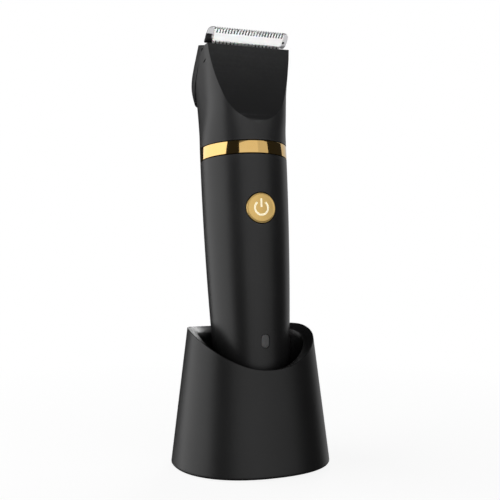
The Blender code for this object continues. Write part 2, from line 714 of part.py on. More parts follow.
def motor_can(materials, parent):
    profile = ((5.0, MOTOR_BOTTOM), (MOTOR_RADIUS, MOTOR_BOTTOM + 1.0), (MOTOR_RADIUS, MOTOR_TOP), (3.0, MOTOR_TOP), (3.0, MOTOR_TOP + 1.0))
    motor = add_object("motor_can", turned(profile, 32), materials["steel"], parent)
    return cut_with(motor, turned(((1.3, MOTOR_TOP - 4.0), (1.3, MOTOR_TOP + 4.0)), 12))


def motor_mount(materials, parent):
    """Plate across the head that the motor is screwed to."""
    low = MOTOR_TOP + GAP
    mount = add_object("motor_mount", turned(((15.0, low), (15.0, MOUNT_TOP)), 32), materials["black_plastic"], parent)
    mount = cut_with(mount, turned(((3.3, low - 5), (3.3, MOUNT_TOP + 5)), SMALL_SEGMENTS))
    mount = cut_with(mount, box((-20.0, -20.0, low - 5), (20.0, -10.5, MOUNT_TOP + 5)))
    mount = cut_with(mount, box((-20.0, 9.6, low - 5), (20.0, 20.0, MOUNT_TOP + 5)))
    for side in (-1, 1):
        mount = cut_with(mount, turned(((1.2, low - 5), (1.2, MOUNT_TOP + 5)), 12, (side * 5.6, 0.0)))
    return mount


def mount_screw(name, side, materials, parent):
    profile = ((0.8, MOTOR_TOP + GAP), (0.8, MOUNT_TOP + GAP), (1.6, MOUNT_TOP + GAP), (1.6, MOUNT_TOP + 1.4))
    return add_object(name, turned(profile, 12, (side * 5.6, 0.0)), materials["steel"], parent)


def motor_shaft(materials, parent):
    profile = ((1.0, MOTOR_TOP - 3.6), (1.0, CAM_TOP - 0.4))
    return add_object("motor_shaft", turned(profile, 12), materials["steel"], parent, (0, 0, MOTOR_TOP))


def eccentric_cam(materials, parent):
    """Disc pressed on the shaft, with the drive pin standing off its centre."""
    cam = turned(((3.2, CAM_BOTTOM), (3.2, CAM_TOP + 0.6)), 24)
    cam = add_object("eccentric_cam", cam, materials["white_nylon"], parent, (0, 0, CAM_BOTTOM))
    cam = cut_with(cam, turned(((1.05, CAM_BOTTOM - 2), (1.05, CAM_TOP - 0.2)), 12))
    pin = turned(((CAM_PIN_RADIUS, CAM_TOP), (CAM_PIN_RADIUS, CAM_PIN_TOP)), 12, (CAM_OFFSET, 0.0))
    return cut_with(cam, pin, "UNION")


# ---- cutting unit -----------------------------------------------------------------------------
def scallop_edge(half_width, count, depth):
    """Lower edge of the cutter, left to right: round-ended teeth pointing down."""
    pitch = 2.0 * half_width / count
    points = []
    for tooth in range(count):
        left = -half_width + pitch * tooth
        points += [(left + pitch * 0.14, depth), (left + pitch * 0.26, depth * 0.15)]
        points += [(left + pitch * 0.5, 0.0), (left + pitch * 0.74, depth * 0.15), (left + pitch * 0.86, depth)]
    return points


def slot_edge(half_width, count, depth, tip, slot_share=0.42):
    """Toothed upper edge, right to left: straight teeth with square slots between them."""
    pitch = 2.0 * half_width / (count + 0.5)
    points = []
    for slot in range(count):
        right = half_width - pitch * (slot + 0.5)
        left = right - pitch * slot_share
        points += [(right, tip), (right, tip - depth), (left, tip - depth), (left, tip)]
    return points


def cutter(materials, parent):
    outline = [(-CUTTER_HALF_WIDTH, SCALLOP_DEPTH)] + scallop_edge(CUTTER_HALF_WIDTH, SCALLOPS, SCALLOP_DEPTH)
    outline += [(CUTTER_HALF_WIDTH, SCALLOP_DEPTH), (CUTTER_HALF_WIDTH, CUTTER_LENGTH)]
    outline += slot_edge(CUTTER_HALF_WIDTH, CUTTER_TEETH, CUTTER_SLOT_DEPTH, CUTTER_LENGTH)
    outline.append((-CUTTER_HALF_WIDTH, CUTTER_LENGTH))
    return add_object("cutter", prism_y(outline, 0.0, CUTTER_THICKNESS), materials["ceramic"], parent)


def comb_outline():
    """Fixed comb: low ear on the right, short ear on the left, and a window for the drive."""
    reach = COMB_HALF_WIDTH
    outline = [(-reach, EAR_BOTTOM), (-CUTTER_HALF_WIDTH - 0.2, EAR_BOTTOM), (-CUTTER_HALF_WIDTH - 0.2, 2.0)]
    outline += [(-WINDOW_HALF_WIDTH, 2.0), (-WINDOW_HALF_WIDTH, WINDOW_TOP)]
    outline += [(WINDOW_HALF_WIDTH, WINDOW_TOP), (WINDOW_HALF_WIDTH, 2.0), (CUTTER_HALF_WIDTH + 0.6, 2.0)]
    outline += [(CUTTER_HALF_WIDTH + 0.6, -0.2), (reach - 1.0, -0.4), (reach, 1.4), (reach, COMB_TIP - 3.0)]
    outline += [(reach - 0.3, COMB_TIP - 1.6), (reach - 1.1, COMB_TIP - 0.6), (reach - 2.4, COMB_TIP)]
    outline += slot_edge(CUTTER_HALF_WIDTH, COMB_TEETH, COMB_SLOT_DEPTH, COMB_TIP)
    outline += [(-reach + 2.2, COMB_TIP), (-reach + 0.8, COMB_TIP - 0.8), (-reach, COMB_TIP - 2.6)]
    return outline


def comb(materials, parent):
    plate = add_object("comb", prism_y(comb_outline(), COMB_FRONT, COMB_BACK), materials["steel"], parent)
    plate = cut_with(plate, prism_y(moved(circle(0.6, 12), 17.0, 2.6), 0.0, 5.0))
    for side in (-1, 1):
        hole = prism_y(moved(circle(COMB_SCREW_HOLE, 12), side * COMB_SCREW_PLACE[0], COMB_SCREW_PLACE[1]), 0.0, 5.0)
        plate = cut_with(plate, hole)
    return plate


def blade_carrier(materials, parent):
    """Black holder behind the comb, open in the middle for the cutter's drive arm."""
    carrier = box((-CUTTER_HALF_WIDTH, COMB_BACK + GAP, -2.6), (CUTTER_HALF_WIDTH, 4.8, 4.6))
    carrier = add_object("blade_carrier", carrier, materials["satin_black"], parent)
    low = (-COMB_HALF_WIDTH, CUTTER_THICKNESS + 0.15, -0.6)
    strip = box(low, (-CUTTER_HALF_WIDTH - 0.5, COMB_BACK + 0.2, EAR_BOTTOM - GAP))
    carrier = cut_with(carrier, strip, "UNION")
    bridge = box((-CUTTER_HALF_WIDTH - 1.4, COMB_FRONT + 0.1, -0.1), (-CUTTER_HALF_WIDTH + 1.0, COMB_BACK + 0.8, 1.6))
    carrier = cut_with(carrier, bridge, "UNION")
    carrier = cut_with(carrier, box((-WINDOW_HALF_WIDTH, 0.0, -5.0), (WINDOW_HALF_WIDTH, 3.4, 8.0)))
    for side in (-1, 1):
        post = box((side * 12.5 - 1.2, COMB_FRONT, -5.0), (side * 12.5 + 1.2, 3.2, -0.1))
        carrier = cut_with(carrier, post, "UNION")
    for side in (-1, 1):
        hole = prism_y(moved(circle(COMB_SCREW_HOLE, 12), side * COMB_SCREW_PLACE[0], COMB_SCREW_PLACE[1]), 0.0, 8.0)
        carrier = cut_with(carrier, hole)
    return carrier


def comb_screw(name, side, materials, parent):
    centre = (side * COMB_SCREW_PLACE[0], COMB_SCREW_PLACE[1])
    screw = add_object(name, prism_y(moved(circle(0.8, 12), *centre), COMB_FRONT + 0.1, 5.3), materials["steel"], parent)
    return cut_with(screw, prism_y(moved(circle(1.7, 12), *centre), 5.1, 5.9), "UNION")


def cutter_yoke(materials, parent):
    """Drive arm of the cutter: pad behind it, arm down into the head, fork round the drive pin."""
    yoke = add_object("cutter_yoke", box((-9.0, 1.3, 1.0), (9.0, 2.6, 2.9)), materials["white_nylon"], parent)
    yoke = cut_with(yoke, box((-3.6, 1.3, -7.6), (3.6, 2.6, 2.0)), "UNION")
    return yoke


def yoke_fork(yoke, frame):
    """Leg and slotted tongue, laid out in the groomer's frame and joined to the arm."""
    material = yoke.data.materials[0]
    leg = add_object("leg", box((-3.5, -3.9, 150.2), (3.5, -1.9, 160.3)), material, frame)
    yoke = combine(yoke, leg, "UNION")
    tongue = add_object("tongue", box((-4.8, -3.9, 150.2), (4.8, 3.4, 151.8)), material, frame)
    yoke = combine(yoke, tongue, "UNION")
    slot = add_object("slot", box((-3.2, -2.2, 148.0), (3.2, 8.0, 154.0)), material, frame)
    return combine(yoke, slot)


def carrier_hooks(carrier, frame):
    """Two hooks that reach back from the carrier to the rear cover's mouth."""
    for side in (-1, 1):
        low = (side * 12.5 - 1.4, -5.4, 162.9)
        high = (side * 12.5 + 1.4, COVER_MOUTH - GAP, 164.4)
        carrier = combine(carrier, add_object("hook", box(low, high), carrier.data.materials[0], frame), "UNION")
    return carrier


def cutter_spring(materials, parent):
    """Flat steel strip in front of the yoke's arm that holds the cutter to the comb."""
    outline = ((-13.4, -4.4), (13.4, -4.4), (13.4, -3.5), (-13.4, -3.5))
    return add_object("cutter_spring", prism_y(outline, 0.5, 0.9), materials["steel"], parent)


# ---- assembly ---------------------------------------------------------------------------------
def clear_scene():
    for item in list(bpy.data.objects):
        bpy.data.objects.remove(item, do_unlink=True)


def build_stand(materials, stand, groomer):
    stand_shell(materials, stand)
    stand_base_cover(materials, stand)
    stand_pad(materials, stand)
    stand_ballast(materials, stand)
    stand_board(materials, stand)
    stand_inlet(materials, stand)
    for number, place in enumerate(screw_places(), 1):
        base_screw(f"base_screw_{number}", place, materials, stand)
    pin_guide(materials, groomer)
    for side, word in ((-1, "left"), (1, "right")):
        charging_pin(f"charging_pin_{word}", side, materials, groomer)
        centre = (side * CONTACT_SPACING / 2, 0.0)
        coil_spring(f"pin_spring_{word}", centre, 1.2, 0.2, -7.4, -4.8, 3, materials, groomer)


def build_handle(materials, groomer):
    handle_shell(materials, groomer)
    end_cap(materials, groomer)
    end_cap_seal(materials, groomer)
    for side, word in ((-1, "left"), (1, "right")):
        charging_contact(f"charging_contact_{word}", side, materials, groomer)
    chassis(materials, groomer)
    battery(materials, groomer)
    battery_tab("battery_tab_bottom", BATTERY_BOTTOM - GAP - 0.4, materials, groomer)
    battery_tab("battery_tab_top", BATTERY_TOP + GAP, materials, groomer)
    main_board(materials, groomer)
    tact_switch(materials, groomer)
    status_led(materials, groomer)
    light_pipe(materials, groomer)
    button_membrane(materials, groomer)
    power_button(materials, groomer)
    gold_band(materials, groomer)
    neck_seal(materials, groomer)


def build_head(materials, groomer):
    head_housing(materials, groomer)
    motor_can(materials, groomer)
    motor_mount(materials, groomer)
    for side, word in ((-1, "left"), (1, "right")):
        mount_screw(f"mount_screw_{word}", side, materials, groomer)
    motor_shaft(materials, groomer)
    eccentric_cam(materials, groomer)
    rear_cover(materials, groomer)


def build_blade(materials, groomer, blade):
    carrier_hooks(blade_carrier(materials, blade), groomer)
    comb(materials, blade)
    cutter(materials, blade)
    yoke = cutter_yoke(materials, blade)
    yoke_fork(yoke, groomer)
    cutter_spring(materials, blade)
    for side, word in ((-1, "left"), (1, "right")):
        comb_screw(f"comb_screw_{word}", side, materials, blade)


def main():
    clear_scene()
    materials = make_materials()
    stand = add_empty("stand_frame", None, (0.0, 0.0, 0.0), 0.0)
    groomer = add_empty("groomer_frame", None, GROOMER_FOOT, -LEAN)
    blade = add_empty("blade_frame", groomer, BLADE_ORIGIN, BLADE_LEAN)
    bpy.context.view_layer.update()
    build_stand(materials, stand, groomer)
    build_handle(materials, groomer)
    build_head(materials, groomer)
    build_blade(materials, groomer, blade)


main()
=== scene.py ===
"""Looks of the body groomer in its charging stand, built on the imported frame.

Pieces are laid out in millimetres in three frames: the stand's, the groomer's (+Z along the handle)
and the blade's (+Z up the blade, +Y towards the skin side).
"""

import json
import math

import bmesh
import bpy
from mathutils import Matrix, Vector


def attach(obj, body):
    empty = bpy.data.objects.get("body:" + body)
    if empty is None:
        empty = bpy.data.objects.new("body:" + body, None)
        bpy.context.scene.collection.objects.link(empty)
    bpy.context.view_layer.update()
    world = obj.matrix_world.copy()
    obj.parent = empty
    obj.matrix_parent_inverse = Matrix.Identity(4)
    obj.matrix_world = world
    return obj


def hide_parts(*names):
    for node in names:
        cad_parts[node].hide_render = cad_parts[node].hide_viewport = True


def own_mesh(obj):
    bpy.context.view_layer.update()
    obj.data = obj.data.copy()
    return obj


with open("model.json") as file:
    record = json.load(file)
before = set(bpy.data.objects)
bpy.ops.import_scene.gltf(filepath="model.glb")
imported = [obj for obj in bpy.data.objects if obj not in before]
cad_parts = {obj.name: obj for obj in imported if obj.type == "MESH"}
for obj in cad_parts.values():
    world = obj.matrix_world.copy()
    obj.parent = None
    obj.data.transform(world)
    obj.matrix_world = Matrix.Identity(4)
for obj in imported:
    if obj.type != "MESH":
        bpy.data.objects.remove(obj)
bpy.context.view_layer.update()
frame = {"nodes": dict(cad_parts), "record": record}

METRES = 0.001

# ---- frames ---------------------------------------------------------------------------------
LEAN = math.radians(6.5)
GROOMER_FOOT = (0.0, -5.1, 16.0)
BLADE_ORIGIN = (0.0, -8.83, 162.73)
BLADE_LEAN = math.radians(52.0)
STAND = Matrix.Identity(4)
GROOMER = Matrix.Translation([v * METRES for v in GROOMER_FOOT]) @ Matrix.Rotation(-LEAN, 4, "X")
BLADE = GROOMER @ Matrix.Translation([v * METRES for v in BLADE_ORIGIN]) @ Matrix.Rotation(BLADE_LEAN, 4, "X")

# ---- camera ---------------------------------------------------------------------------------
CAMERA_AZIMUTH = math.radians(-21.5)
CAMERA_DISTANCE = 0.358
CAMERA_HEIGHT = 0.0963
CAMERA_PITCH = math.radians(-0.9)
CAMERA_LENS = 60.0

# ---- studio: panel name, bearing from the camera, distance, width, radiance -------------------
ROOM_TONE = 0.02
PANEL_HEIGHT = 0.96
PANEL_MIDDLE = 0.2
PANEL_AIM = 0.12
PANEL_SPREAD = 180.0
BOUNCE_SIZE = (0.16, 0.1)
BOUNCE_RADIANCE = 1.3
BOUNCE_PLACE = (-0.04, -0.25, 0.01)
BOUNCE_AIM = (0.0, -0.02, 0.19)
BOUNCE_SPREAD = 40.0
RIM_GLEAM_SIZE = (0.22, 0.12)
RIM_GLEAM_RADIANCE = 0.24
RIM_GLEAM_PLACE = (0.42, 0.64, 0.36)
RIM_GLEAM_AIM = (-0.02, 0.01, 0.055)
RIM_GLEAM_SPREAD = 30.0
FLOOR_REACH = 6.0
FLOOR_HEIGHT = -0.0002
PANELS = (
    ("left_panel", -88.0, 0.8, 1.45, 1.32),
    ("front_panel", 29.5, 0.95, 1.54, 0.6),
    ("front_fill_panel", 15.0, 0.94, 0.87, 0.16),
    ("rim_panel", 152.0, 0.8, 0.86, 0.55),
)

# ---- stand ----------------------------------------------------------------------------------
BASE_HALF_WIDTH = 33.95
BASE_FRONT_DEPTH = 30.8
BASE_REAR_DEPTH = 27.4
SIDE_TAPER = 0.0036
FRONT_TAPER = 0.0050
REAR_TAPER = 0.00333
STAND_EXPONENT = 2.25
STAND_WALL = 2.4
STAND_LIFT = 0.3
RIM_HEIGHT = 57.0
RIM_CURVE_RADIUS = 43.0
RIM_CURVE_CENTRE = (8.5, 14.7)
RIM_WIDTH = 4.3
RIM_DROP_BACK = 2.6
RIM_DROP_FRONT = 0.5
RIM_DROP_START = -22.8
RIM_DROP_END = -7.8
CUP_FLOOR_RADIUS = 15.4
CUP_WALL = 2.0
CUP_FLOOR = 2.0
HOLLOW_TOP = 34.0
CUP_MOUTH = (23.0, 21.5, 19.5, 2.2)
FOOT_ROUND = 0.75
FOOT_TOP = 1.6
INLET_HEIGHT = 7.9
INLET_HALF_WIDTH = 4.4
INLET_RADIUS = 1.55
PIN_SPACING = 10.0
PIN_HOLE_RADIUS = 1.35
SPRING_FOOT = -7.4
SPRING_HEAD = -4.8
SPRING_RADIUS = 1.2
SPRING_WIRE = 0.2
SPRING_TURNS = 3
SPRING_STEPS = 28

# ---- handle ---------------------------------------------------------------------------------
HANDLE_RADIUS = 18.9
HANDLE_TAPER = 4.65
HANDLE_WALL = 1.9
CAP_TOP = 9.0
CAP_EDGE = 2.0
GAP = 0.3
EDGE_CHAMFER = 0.12
CONTACT_HOLE_RADIUS = 2.0
SHELL_TOP = 113.7
BAND_BOTTOM = 114.0
BAND_TOP = 119.4
BAND_EDGE = 0.22
SHOULDER = 119.7
SPIGOT_BOTTOM = 108.0
SPIGOT_RADIUS = 16.85
SPIGOT_WALL = 1.7
BUTTON_HEIGHT = 90.9
BUTTON_RADIUS = 6.45
BUTTON_FLATNESS = 0.72
BUTTON_GAP = 0.28
BUTTON_BACK = -13.2
BUTTON_POINTS = 96
SIGN_INNER = 2.48
SIGN_OUTER = 3.32
SIGN_GAP = math.radians(38.0)
SIGN_BAR_HALF_WIDTH = 0.43
SIGN_BAR_HEIGHTS = (0.3, 1.2, 2.1, 3.0, 3.9)
BUTTON_PROFILE = (
    (BUTTON_RADIUS, 2.0), (BUTTON_RADIUS, 0.5), (6.42, 0.26), (6.3, 0.1), (6.12, 0.03), (5.95, 0.06),
    (5.8, 0.16), (5.6, 0.2), (5.0, 0.2), (4.2, 0.2), (3.4, 0.2), (2.4, 0.2), (1.2, 0.2), (0.3, 0.2),
)
LIGHT_HEIGHT = 35.8
LIGHT_HALF_WIDTH = 1.8
LIGHT_HALF_HEIGHT = 2.85

# ---- head -----------------------------------------------------------------------------------
HEAD_WALL = 1.9
FACET_BOTTOM = (-19.2, 127.5)
FACET_TOP = (-12.0, 161.8)
FACET_HOLLOW = 1.2
COVER_GROOVE = 0.6
SIDE_SLOT_PLACE = (-7.4, 155.35)
SIDE_SLOT_SLANT = math.radians(106.0)
COVER_WALL = 1.6
COVER_MOUTH = -1.0
COVER_FRONT = ((-5.2, 161.8), (-3.4, 162.2))
COVER_FRONT_END = -2.9
COVER_MOUTH_HALF_WIDTH = 15.6
CHEEK_TOP = (-9.2, 161.7)
HEAD_SECTIONS = (
    (119.7, 18.90, 18.90, 18.90, 2.0),
    (126.0, 18.50, 19.10, 18.90, 2.2),
    (131.0, 18.05, 19.20, 18.90, 2.6),
    (137.0, 17.80, 19.20, 19.00, 3.0),
    (143.0, 17.95, 19.10, 19.00, 3.3),
    (152.0, 18.60, 18.70, 18.00, 4.0),
    (158.0, 19.10, 18.40, 15.50, 4.5),
    (166.0, 19.50, 18.20, 9.00, 5.0),
)
GRIP_GROOVES = 4
GRIP_FOOT = 144.2
GRIP_PITCH = 1.7
GRIP_HALF_WIDTH = 9.0
GRIP_HALF_HEIGHT = 0.3
GRIP_DEPTH = 0.25
COVER_ROOF = ((-5.7, 162.2), (-4.9, 163.2), (1.0, 165.1), (4.6, 166.2))
COVER_SECTIONS = (
    (140.0, 17.90, 12.00, 18.60, 3.6),
    (142.0, 18.05, 12.00, 19.30, 4.3),
    (146.0, 18.30, 12.00, 20.20, 5.0),
    (150.0, 18.50, 12.00, 20.45, 5.3),
    (154.0, 18.65, 12.00, 18.50, 5.1),
    (158.0, 18.70, 12.00, 13.90, 4.8),
    (161.0, 18.60, 12.00, 10.10, 4.4),
    (164.0, 18.30, 12.00, 6.90, 4.2),
    (169.0, 17.60, 12.00, 3.60, 4.0),
)
PARTING_LINE = (
    (-8.6, 161.5),
    (-7.9, 161.0),
    (-5.6, 160.3),
    (-3.2, 159.3),
    (-1.7, 158.0),
    (0.0, 156.0),
    (2.4, 153.8),
    (5.0, 151.4),
    (7.6, 148.2),
    (9.6, 144.6),
    (10.9, 140.9),
)

# ---- blade ----------------------------------------------------------------------------------
CUTTER_HALF_WIDTH = 15.8
CUTTER_LENGTH = 7.4
CUTTER_THICKNESS = 1.0
CUTTER_TEETH = 24
CUTTER_SLOT_DEPTH = 2.0
CUTTER_CORNER = 0.3
SCALLOPS = 19
SCALLOP_DEPTH = 1.5
SCALLOP_FLANK = 0.37
SCALLOP_ROUND = 0.33
COMB_HALF_WIDTH = 18.6
COMB_FRONT = 1.2
COMB_BACK = 1.9
COMB_TIP = 7.25
COMB_TEETH = 28
COMB_SLOT_DEPTH = 2.6
COMB_SCREW_PLACE = (13.4, 3.4)
EAR_HOLE = (17.0, 2.6)
EAR_BOTTOM = 4.0
WINDOW_HALF_WIDTH = 10.6
WINDOW_TOP = 3.3

ROUND = 192


# ---- node helpers ---------------------------------------------------------------------------
class Shader:
    """Small helper that builds one Principled material node by node."""

    def __init__(self, name):
        self.material = bpy.data.materials.new(name)
        self.material.use_nodes = True
        self.tree = self.material.node_tree
        self.surface = self.tree.nodes["Principled BSDF"]
        self.place = self.tree.nodes.new("ShaderNodeTexCoord").outputs["Object"]

    def link(self, start, end):
        self.tree.links.new(start, end)

    def scaled(self, scale):
        mapping = self.tree.nodes.new("ShaderNodeMapping")
        mapping.inputs["Scale"].default_value = scale
        self.link(self.place, mapping.inputs["Vector"])
        return mapping.outputs["Vector"]

    def noise(self, scale, detail=3.0, stretch=None, roughness=0.55):
        node = self.tree.nodes.new("ShaderNodeTexNoise")
        node.inputs["Scale"].default_value = scale
        node.inputs["Detail"].default_value = detail
        node.inputs["Roughness"].default_value = roughness
        self.link(self.scaled(stretch) if stretch else self.place, node.inputs["Vector"])
        return node.outputs["Fac"]

    def cells(self, scale):
        node = self.tree.nodes.new("ShaderNodeTexVoronoi")
        node.inputs["Scale"].default_value = scale
        self.link(self.place, node.inputs["Vector"])
        return node.outputs["Distance"]

    def edges(self, low, high):
        """Rises on convex edges, for rubbed corners."""
        node = self.tree.nodes.new("ShaderNodeNewGeometry")
        return self.ranged(node.outputs["Pointiness"], low, high, 0.0, 1.0)

    def ranged(self, value, low, high, start, end):
        node = self.tree.nodes.new("ShaderNodeMapRange")
        for name, number in zip(("From Min", "From Max", "To Min", "To Max"), (low, high, start, end)):
            node.inputs[name].default_value = number
        self.link(value, node.inputs["Value"])
        return node.outputs["Result"]

    def maths(self, operation, first, second):
        node = self.tree.nodes.new("ShaderNodeMath")
        node.operation = operation
        for socket, value in zip(node.inputs, (first, second)):
            if isinstance(value, (int, float)):
                socket.default_value = value
            else:
                self.link(value, socket)
        return node.outputs["Value"]

    def mixed(self, factor, first, second):
        node = self.tree.nodes.new("ShaderNodeMix")
        node.data_type = "RGBA"
        self.link(factor, node.inputs["Factor"])
        for socket, colour in zip((node.inputs["A"], node.inputs["B"]), (first, second)):
            if isinstance(colour, tuple):
                socket.default_value = (*colour, 1.0)
            else:
                self.link(colour, socket)
        return node.outputs["Result"]

    def bump(self, height, strength, distance):
        node = self.tree.nodes.new("ShaderNodeBump")
        node.inputs["Strength"].default_value = strength
        node.inputs["Distance"].default_value = distance * METRES
        self.link(height, node.inputs["Height"])
        if self.surface.inputs["Normal"].links:
            self.link(self.surface.inputs["Normal"].links[0].from_socket, node.inputs["Normal"])
        self.link(node.outputs["Normal"], self.surface.inputs["Normal"])

    def set(self, name, value):
        if isinstance(value, (int, float)):
            self.surface.inputs[name].default_value = value
        elif isinstance(value, tuple):
            self.surface.inputs[name].default_value = (*value, 1.0)
        else:
            self.link(value, self.surface.inputs[name])


def moulded(name, dark, light, roughness, grain, grain_depth, wear=None):
    """Moulded or soft-coated plastic: fine leather-like grain, faint mottling, rubbed edges."""
    shader = Shader(name)
    mottle = shader.ranged(shader.noise(60.0, 4.0), 0.3, 0.7, 0.0, 1.0)
    colour = shader.mixed(mottle, dark, light)
    if wear:
        patches = shader.ranged(shader.noise(900.0), 0.4, 0.7, 0.2, 1.0)
        rubbed = shader.maths("MULTIPLY", shader.edges(0.52, 0.62), patches)
        colour = shader.mixed(rubbed, colour, wear)
    shader.set("Base Color", colour)
    fine = shader.noise(grain, 2.0)
    smear = shader.noise(35.0, 3.0, (1.0, 1.0, 0.35))
    fine_shift = shader.ranged(fine, 0.3, 0.7, -0.04, 0.04)
    smear_shift = shader.ranged(smear, 0.3, 0.7, -0.03, 0.03)
    shift = shader.maths("ADD", fine_shift, smear_shift)
    shader.set("Roughness", shader.maths("ADD", shift, roughness))
    shader.bump(shader.cells(grain * 0.8), 0.35, grain_depth)
    shader.bump(fine, 0.3, grain_depth)
    return shader.material


def metal(name, colour, tint, roughness, streak, streak_depth, brushed=0.02, marks=0.04):
    """Metal with fine streaks along `streak`, faint stains and small handling marks."""
    shader = Shader(name)
    stain = shader.ranged(shader.noise(140.0, 4.0), 0.35, 0.7, 0.0, 1.0)
    shader.set("Base Color", shader.mixed(stain, colour, tint))
    shader.set("Metallic", 1.0)
    lines = shader.noise(700.0, 3.0, streak)
    scuffs = shader.ranged(shader.noise(2600.0, 4.0), 0.62, 0.72, 0.0, marks)
    spread = shader.ranged(lines, 0.3, 0.7, -brushed, brushed)
    shader.set("Roughness", shader.maths("ADD", shader.maths("ADD", spread, scuffs), roughness))
    shader.bump(lines, 0.25, streak_depth)
    return shader.material


def make_looks():
    dark = (0.014, 0.014, 0.0145)
    light = (0.018, 0.018, 0.0185)
    deep = (0.008, 0.008, 0.009)
    deep_light = (0.012, 0.012, 0.013)
    plastic = (0.018, 0.018, 0.019)
    plastic_light = (0.026, 0.026, 0.027)
    worn = (0.05, 0.05, 0.05)
    steel = (0.66, 0.66, 0.67)
    steel_stain = (0.55, 0.55, 0.57)
    iron = (0.16, 0.16, 0.165)
    iron_stain = (0.09, 0.085, 0.08)
    along = (0.03, 1.0, 1.0)
    even = (1.0, 1.0, 1.0)
    nylon = (0.68, 0.67, 0.64)
    nylon_light = (0.76, 0.75, 0.72)
    return {
        "soft_black": moulded("look_soft_black", dark, light, 0.37, 5200.0, 0.012, (0.035, 0.035, 0.036)),
        "stand_black": moulded("look_stand_black", dark, light, 0.39, 4600.0, 0.014, (0.04, 0.04, 0.041)),
        "satin_black": moulded("look_satin_black", deep, deep_light, 0.36, 4000.0, 0.008, (0.03, 0.03, 0.03)),
        "black_plastic": moulded("look_black_plastic", plastic, plastic_light, 0.5, 2600.0, 0.03, worn),
        "rubber": moulded("look_rubber", (0.026, 0.026, 0.026), (0.042, 0.042, 0.041), 0.8, 1800.0, 0.06),
        "polished_gold": polished_gold(),
        "steel": metal("look_steel", steel, steel_stain, 0.3, along, 0.006, 0.06, 0.08),
        "cast_iron": metal("look_cast_iron", iron, iron_stain, 0.62, even, 0.05, 0.1, 0.1),
        "white_nylon": moulded("look_white_nylon", nylon, nylon_light, 0.5, 3000.0, 0.01),
        "brushed_gold": button_gold(),
        "ceramic": ceramic(),
        "smoked_lens": smoked_lens(),
        "circuit_board": circuit_board(),
        "battery_wrap": battery_wrap(),
        "inlay": inlay_with_painted_glow(),
        "comb_steel": comb_steel(),
        # Dark grey for the walls of the cutter's slots: painted shade inside the slots.
        "painted_slot_shade": moulded("look_ground_edge", (0.10, 0.10, 0.10), (0.16, 0.16, 0.16), 0.6, 2600.0, 0.01),
    }


def polished_gold():
    """Polished gold plating under a clear lacquer that whitens its glancing highlights."""
    gold = (0.89, 0.51, 0.05)
    stain = (0.92, 0.54, 0.08)
    material = metal("look_polished_gold", gold, stain, 0.07, (0.02, 0.02, 1.0), 0.002, 0.02, 0.05)
    surface = material.node_tree.nodes["Principled BSDF"]
    surface.inputs["Coat Weight"].default_value = 1.0
    surface.inputs["Coat Roughness"].default_value = 0.06
    surface.inputs["Coat IOR"].default_value = 2.4
    return material


def button_gold():
    """Sunburst-brushed gold: streaks run out from the button's middle."""
    shader = Shader("look_button_gold")
    split = shader.tree.nodes.new("ShaderNodeSeparateXYZ")
    shader.link(shader.place, split.inputs["Vector"])
    angle = shader.maths("ARCTAN2", split.outputs["X"], split.outputs["Z"])
    around = shader.tree.nodes.new("ShaderNodeCombineXYZ")
    shader.link(angle, around.inputs["X"])
    streaks = shader.tree.nodes.new("ShaderNodeTexNoise")
    streaks.inputs["Scale"].default_value = 26.0
    streaks.inputs["Detail"].default_value = 4.0
    shader.link(around.outputs["Vector"], streaks.inputs["Vector"])
    lines = streaks.outputs["Fac"]
    tint = shader.ranged(lines, 0.35, 0.65, 0.0, 1.0)
    shader.set("Base Color", shader.mixed(tint, (1.0, 0.61, 0.17), (1.0, 0.74, 0.31)))
    shader.set("Metallic", 1.0)
    shader.set("Roughness", shader.ranged(lines, 0.3, 0.7, 0.26, 0.40))
    shader.bump(lines, 0.2, 0.01)
    return shader.material


def inlay_with_painted_glow():
    """Cream sign with a painted glow: its emission brightens it, though no lamp lights it."""
    material = moulded("look_inlay", (0.93, 0.84, 0.60), (0.98, 0.90, 0.68), 0.35, 3000.0, 0.004)
    surface = material.node_tree.nodes["Principled BSDF"]
    # Painted glow: emission makes the sign brighter than the studio lamps alone would light it.
    surface.inputs["Emission Color"].default_value = (1.0, 0.86, 0.56, 1.0)
    surface.inputs["Emission Strength"].default_value = 0.42
    return material


def comb_steel():
    """Bead-blasted bright steel of the fixed comb."""
    steel = (0.74, 0.74, 0.75)
    stain = (0.66, 0.66, 0.67)
    material = metal("look_comb_steel", steel, stain, 0.42, (0.03, 1.0, 1.0), 0.004, 0.05, 0.06)
    material.node_tree.nodes["Principled BSDF"].inputs["Metallic"].default_value = 0.2
    return material


def ceramic():
    shader = Shader("look_ceramic")
    cloud = shader.ranged(shader.noise(220.0, 3.0), 0.3, 0.7, 0.0, 1.0)
    shader.set("Base Color", shader.mixed(cloud, (0.90, 0.90, 0.895), (0.95, 0.95, 0.945)))
    shader.set("Roughness", shader.ranged(shader.noise(1500.0), 0.3, 0.7, 0.16, 0.26))
    shader.set("Subsurface Weight", 0.08)
    shader.set("Subsurface Scale", 0.001)
    shader.bump(shader.noise(1800.0), 0.12, 0.006)
    return shader.material


def smoked_lens():
    shader = Shader("look_smoked_lens")
    cloud = shader.ranged(shader.noise(500.0), 0.3, 0.7, 0.0, 1.0)
    shader.set("Base Color", shader.mixed(cloud, (0.12, 0.12, 0.122), (0.15, 0.15, 0.152)))
    shader.set("Roughness", shader.ranged(shader.noise(2500.0), 0.3, 0.7, 0.3, 0.4))
    shader.set("Subsurface Weight", 0.15)
    shader.set("Subsurface Scale", 0.001)
    return shader.material


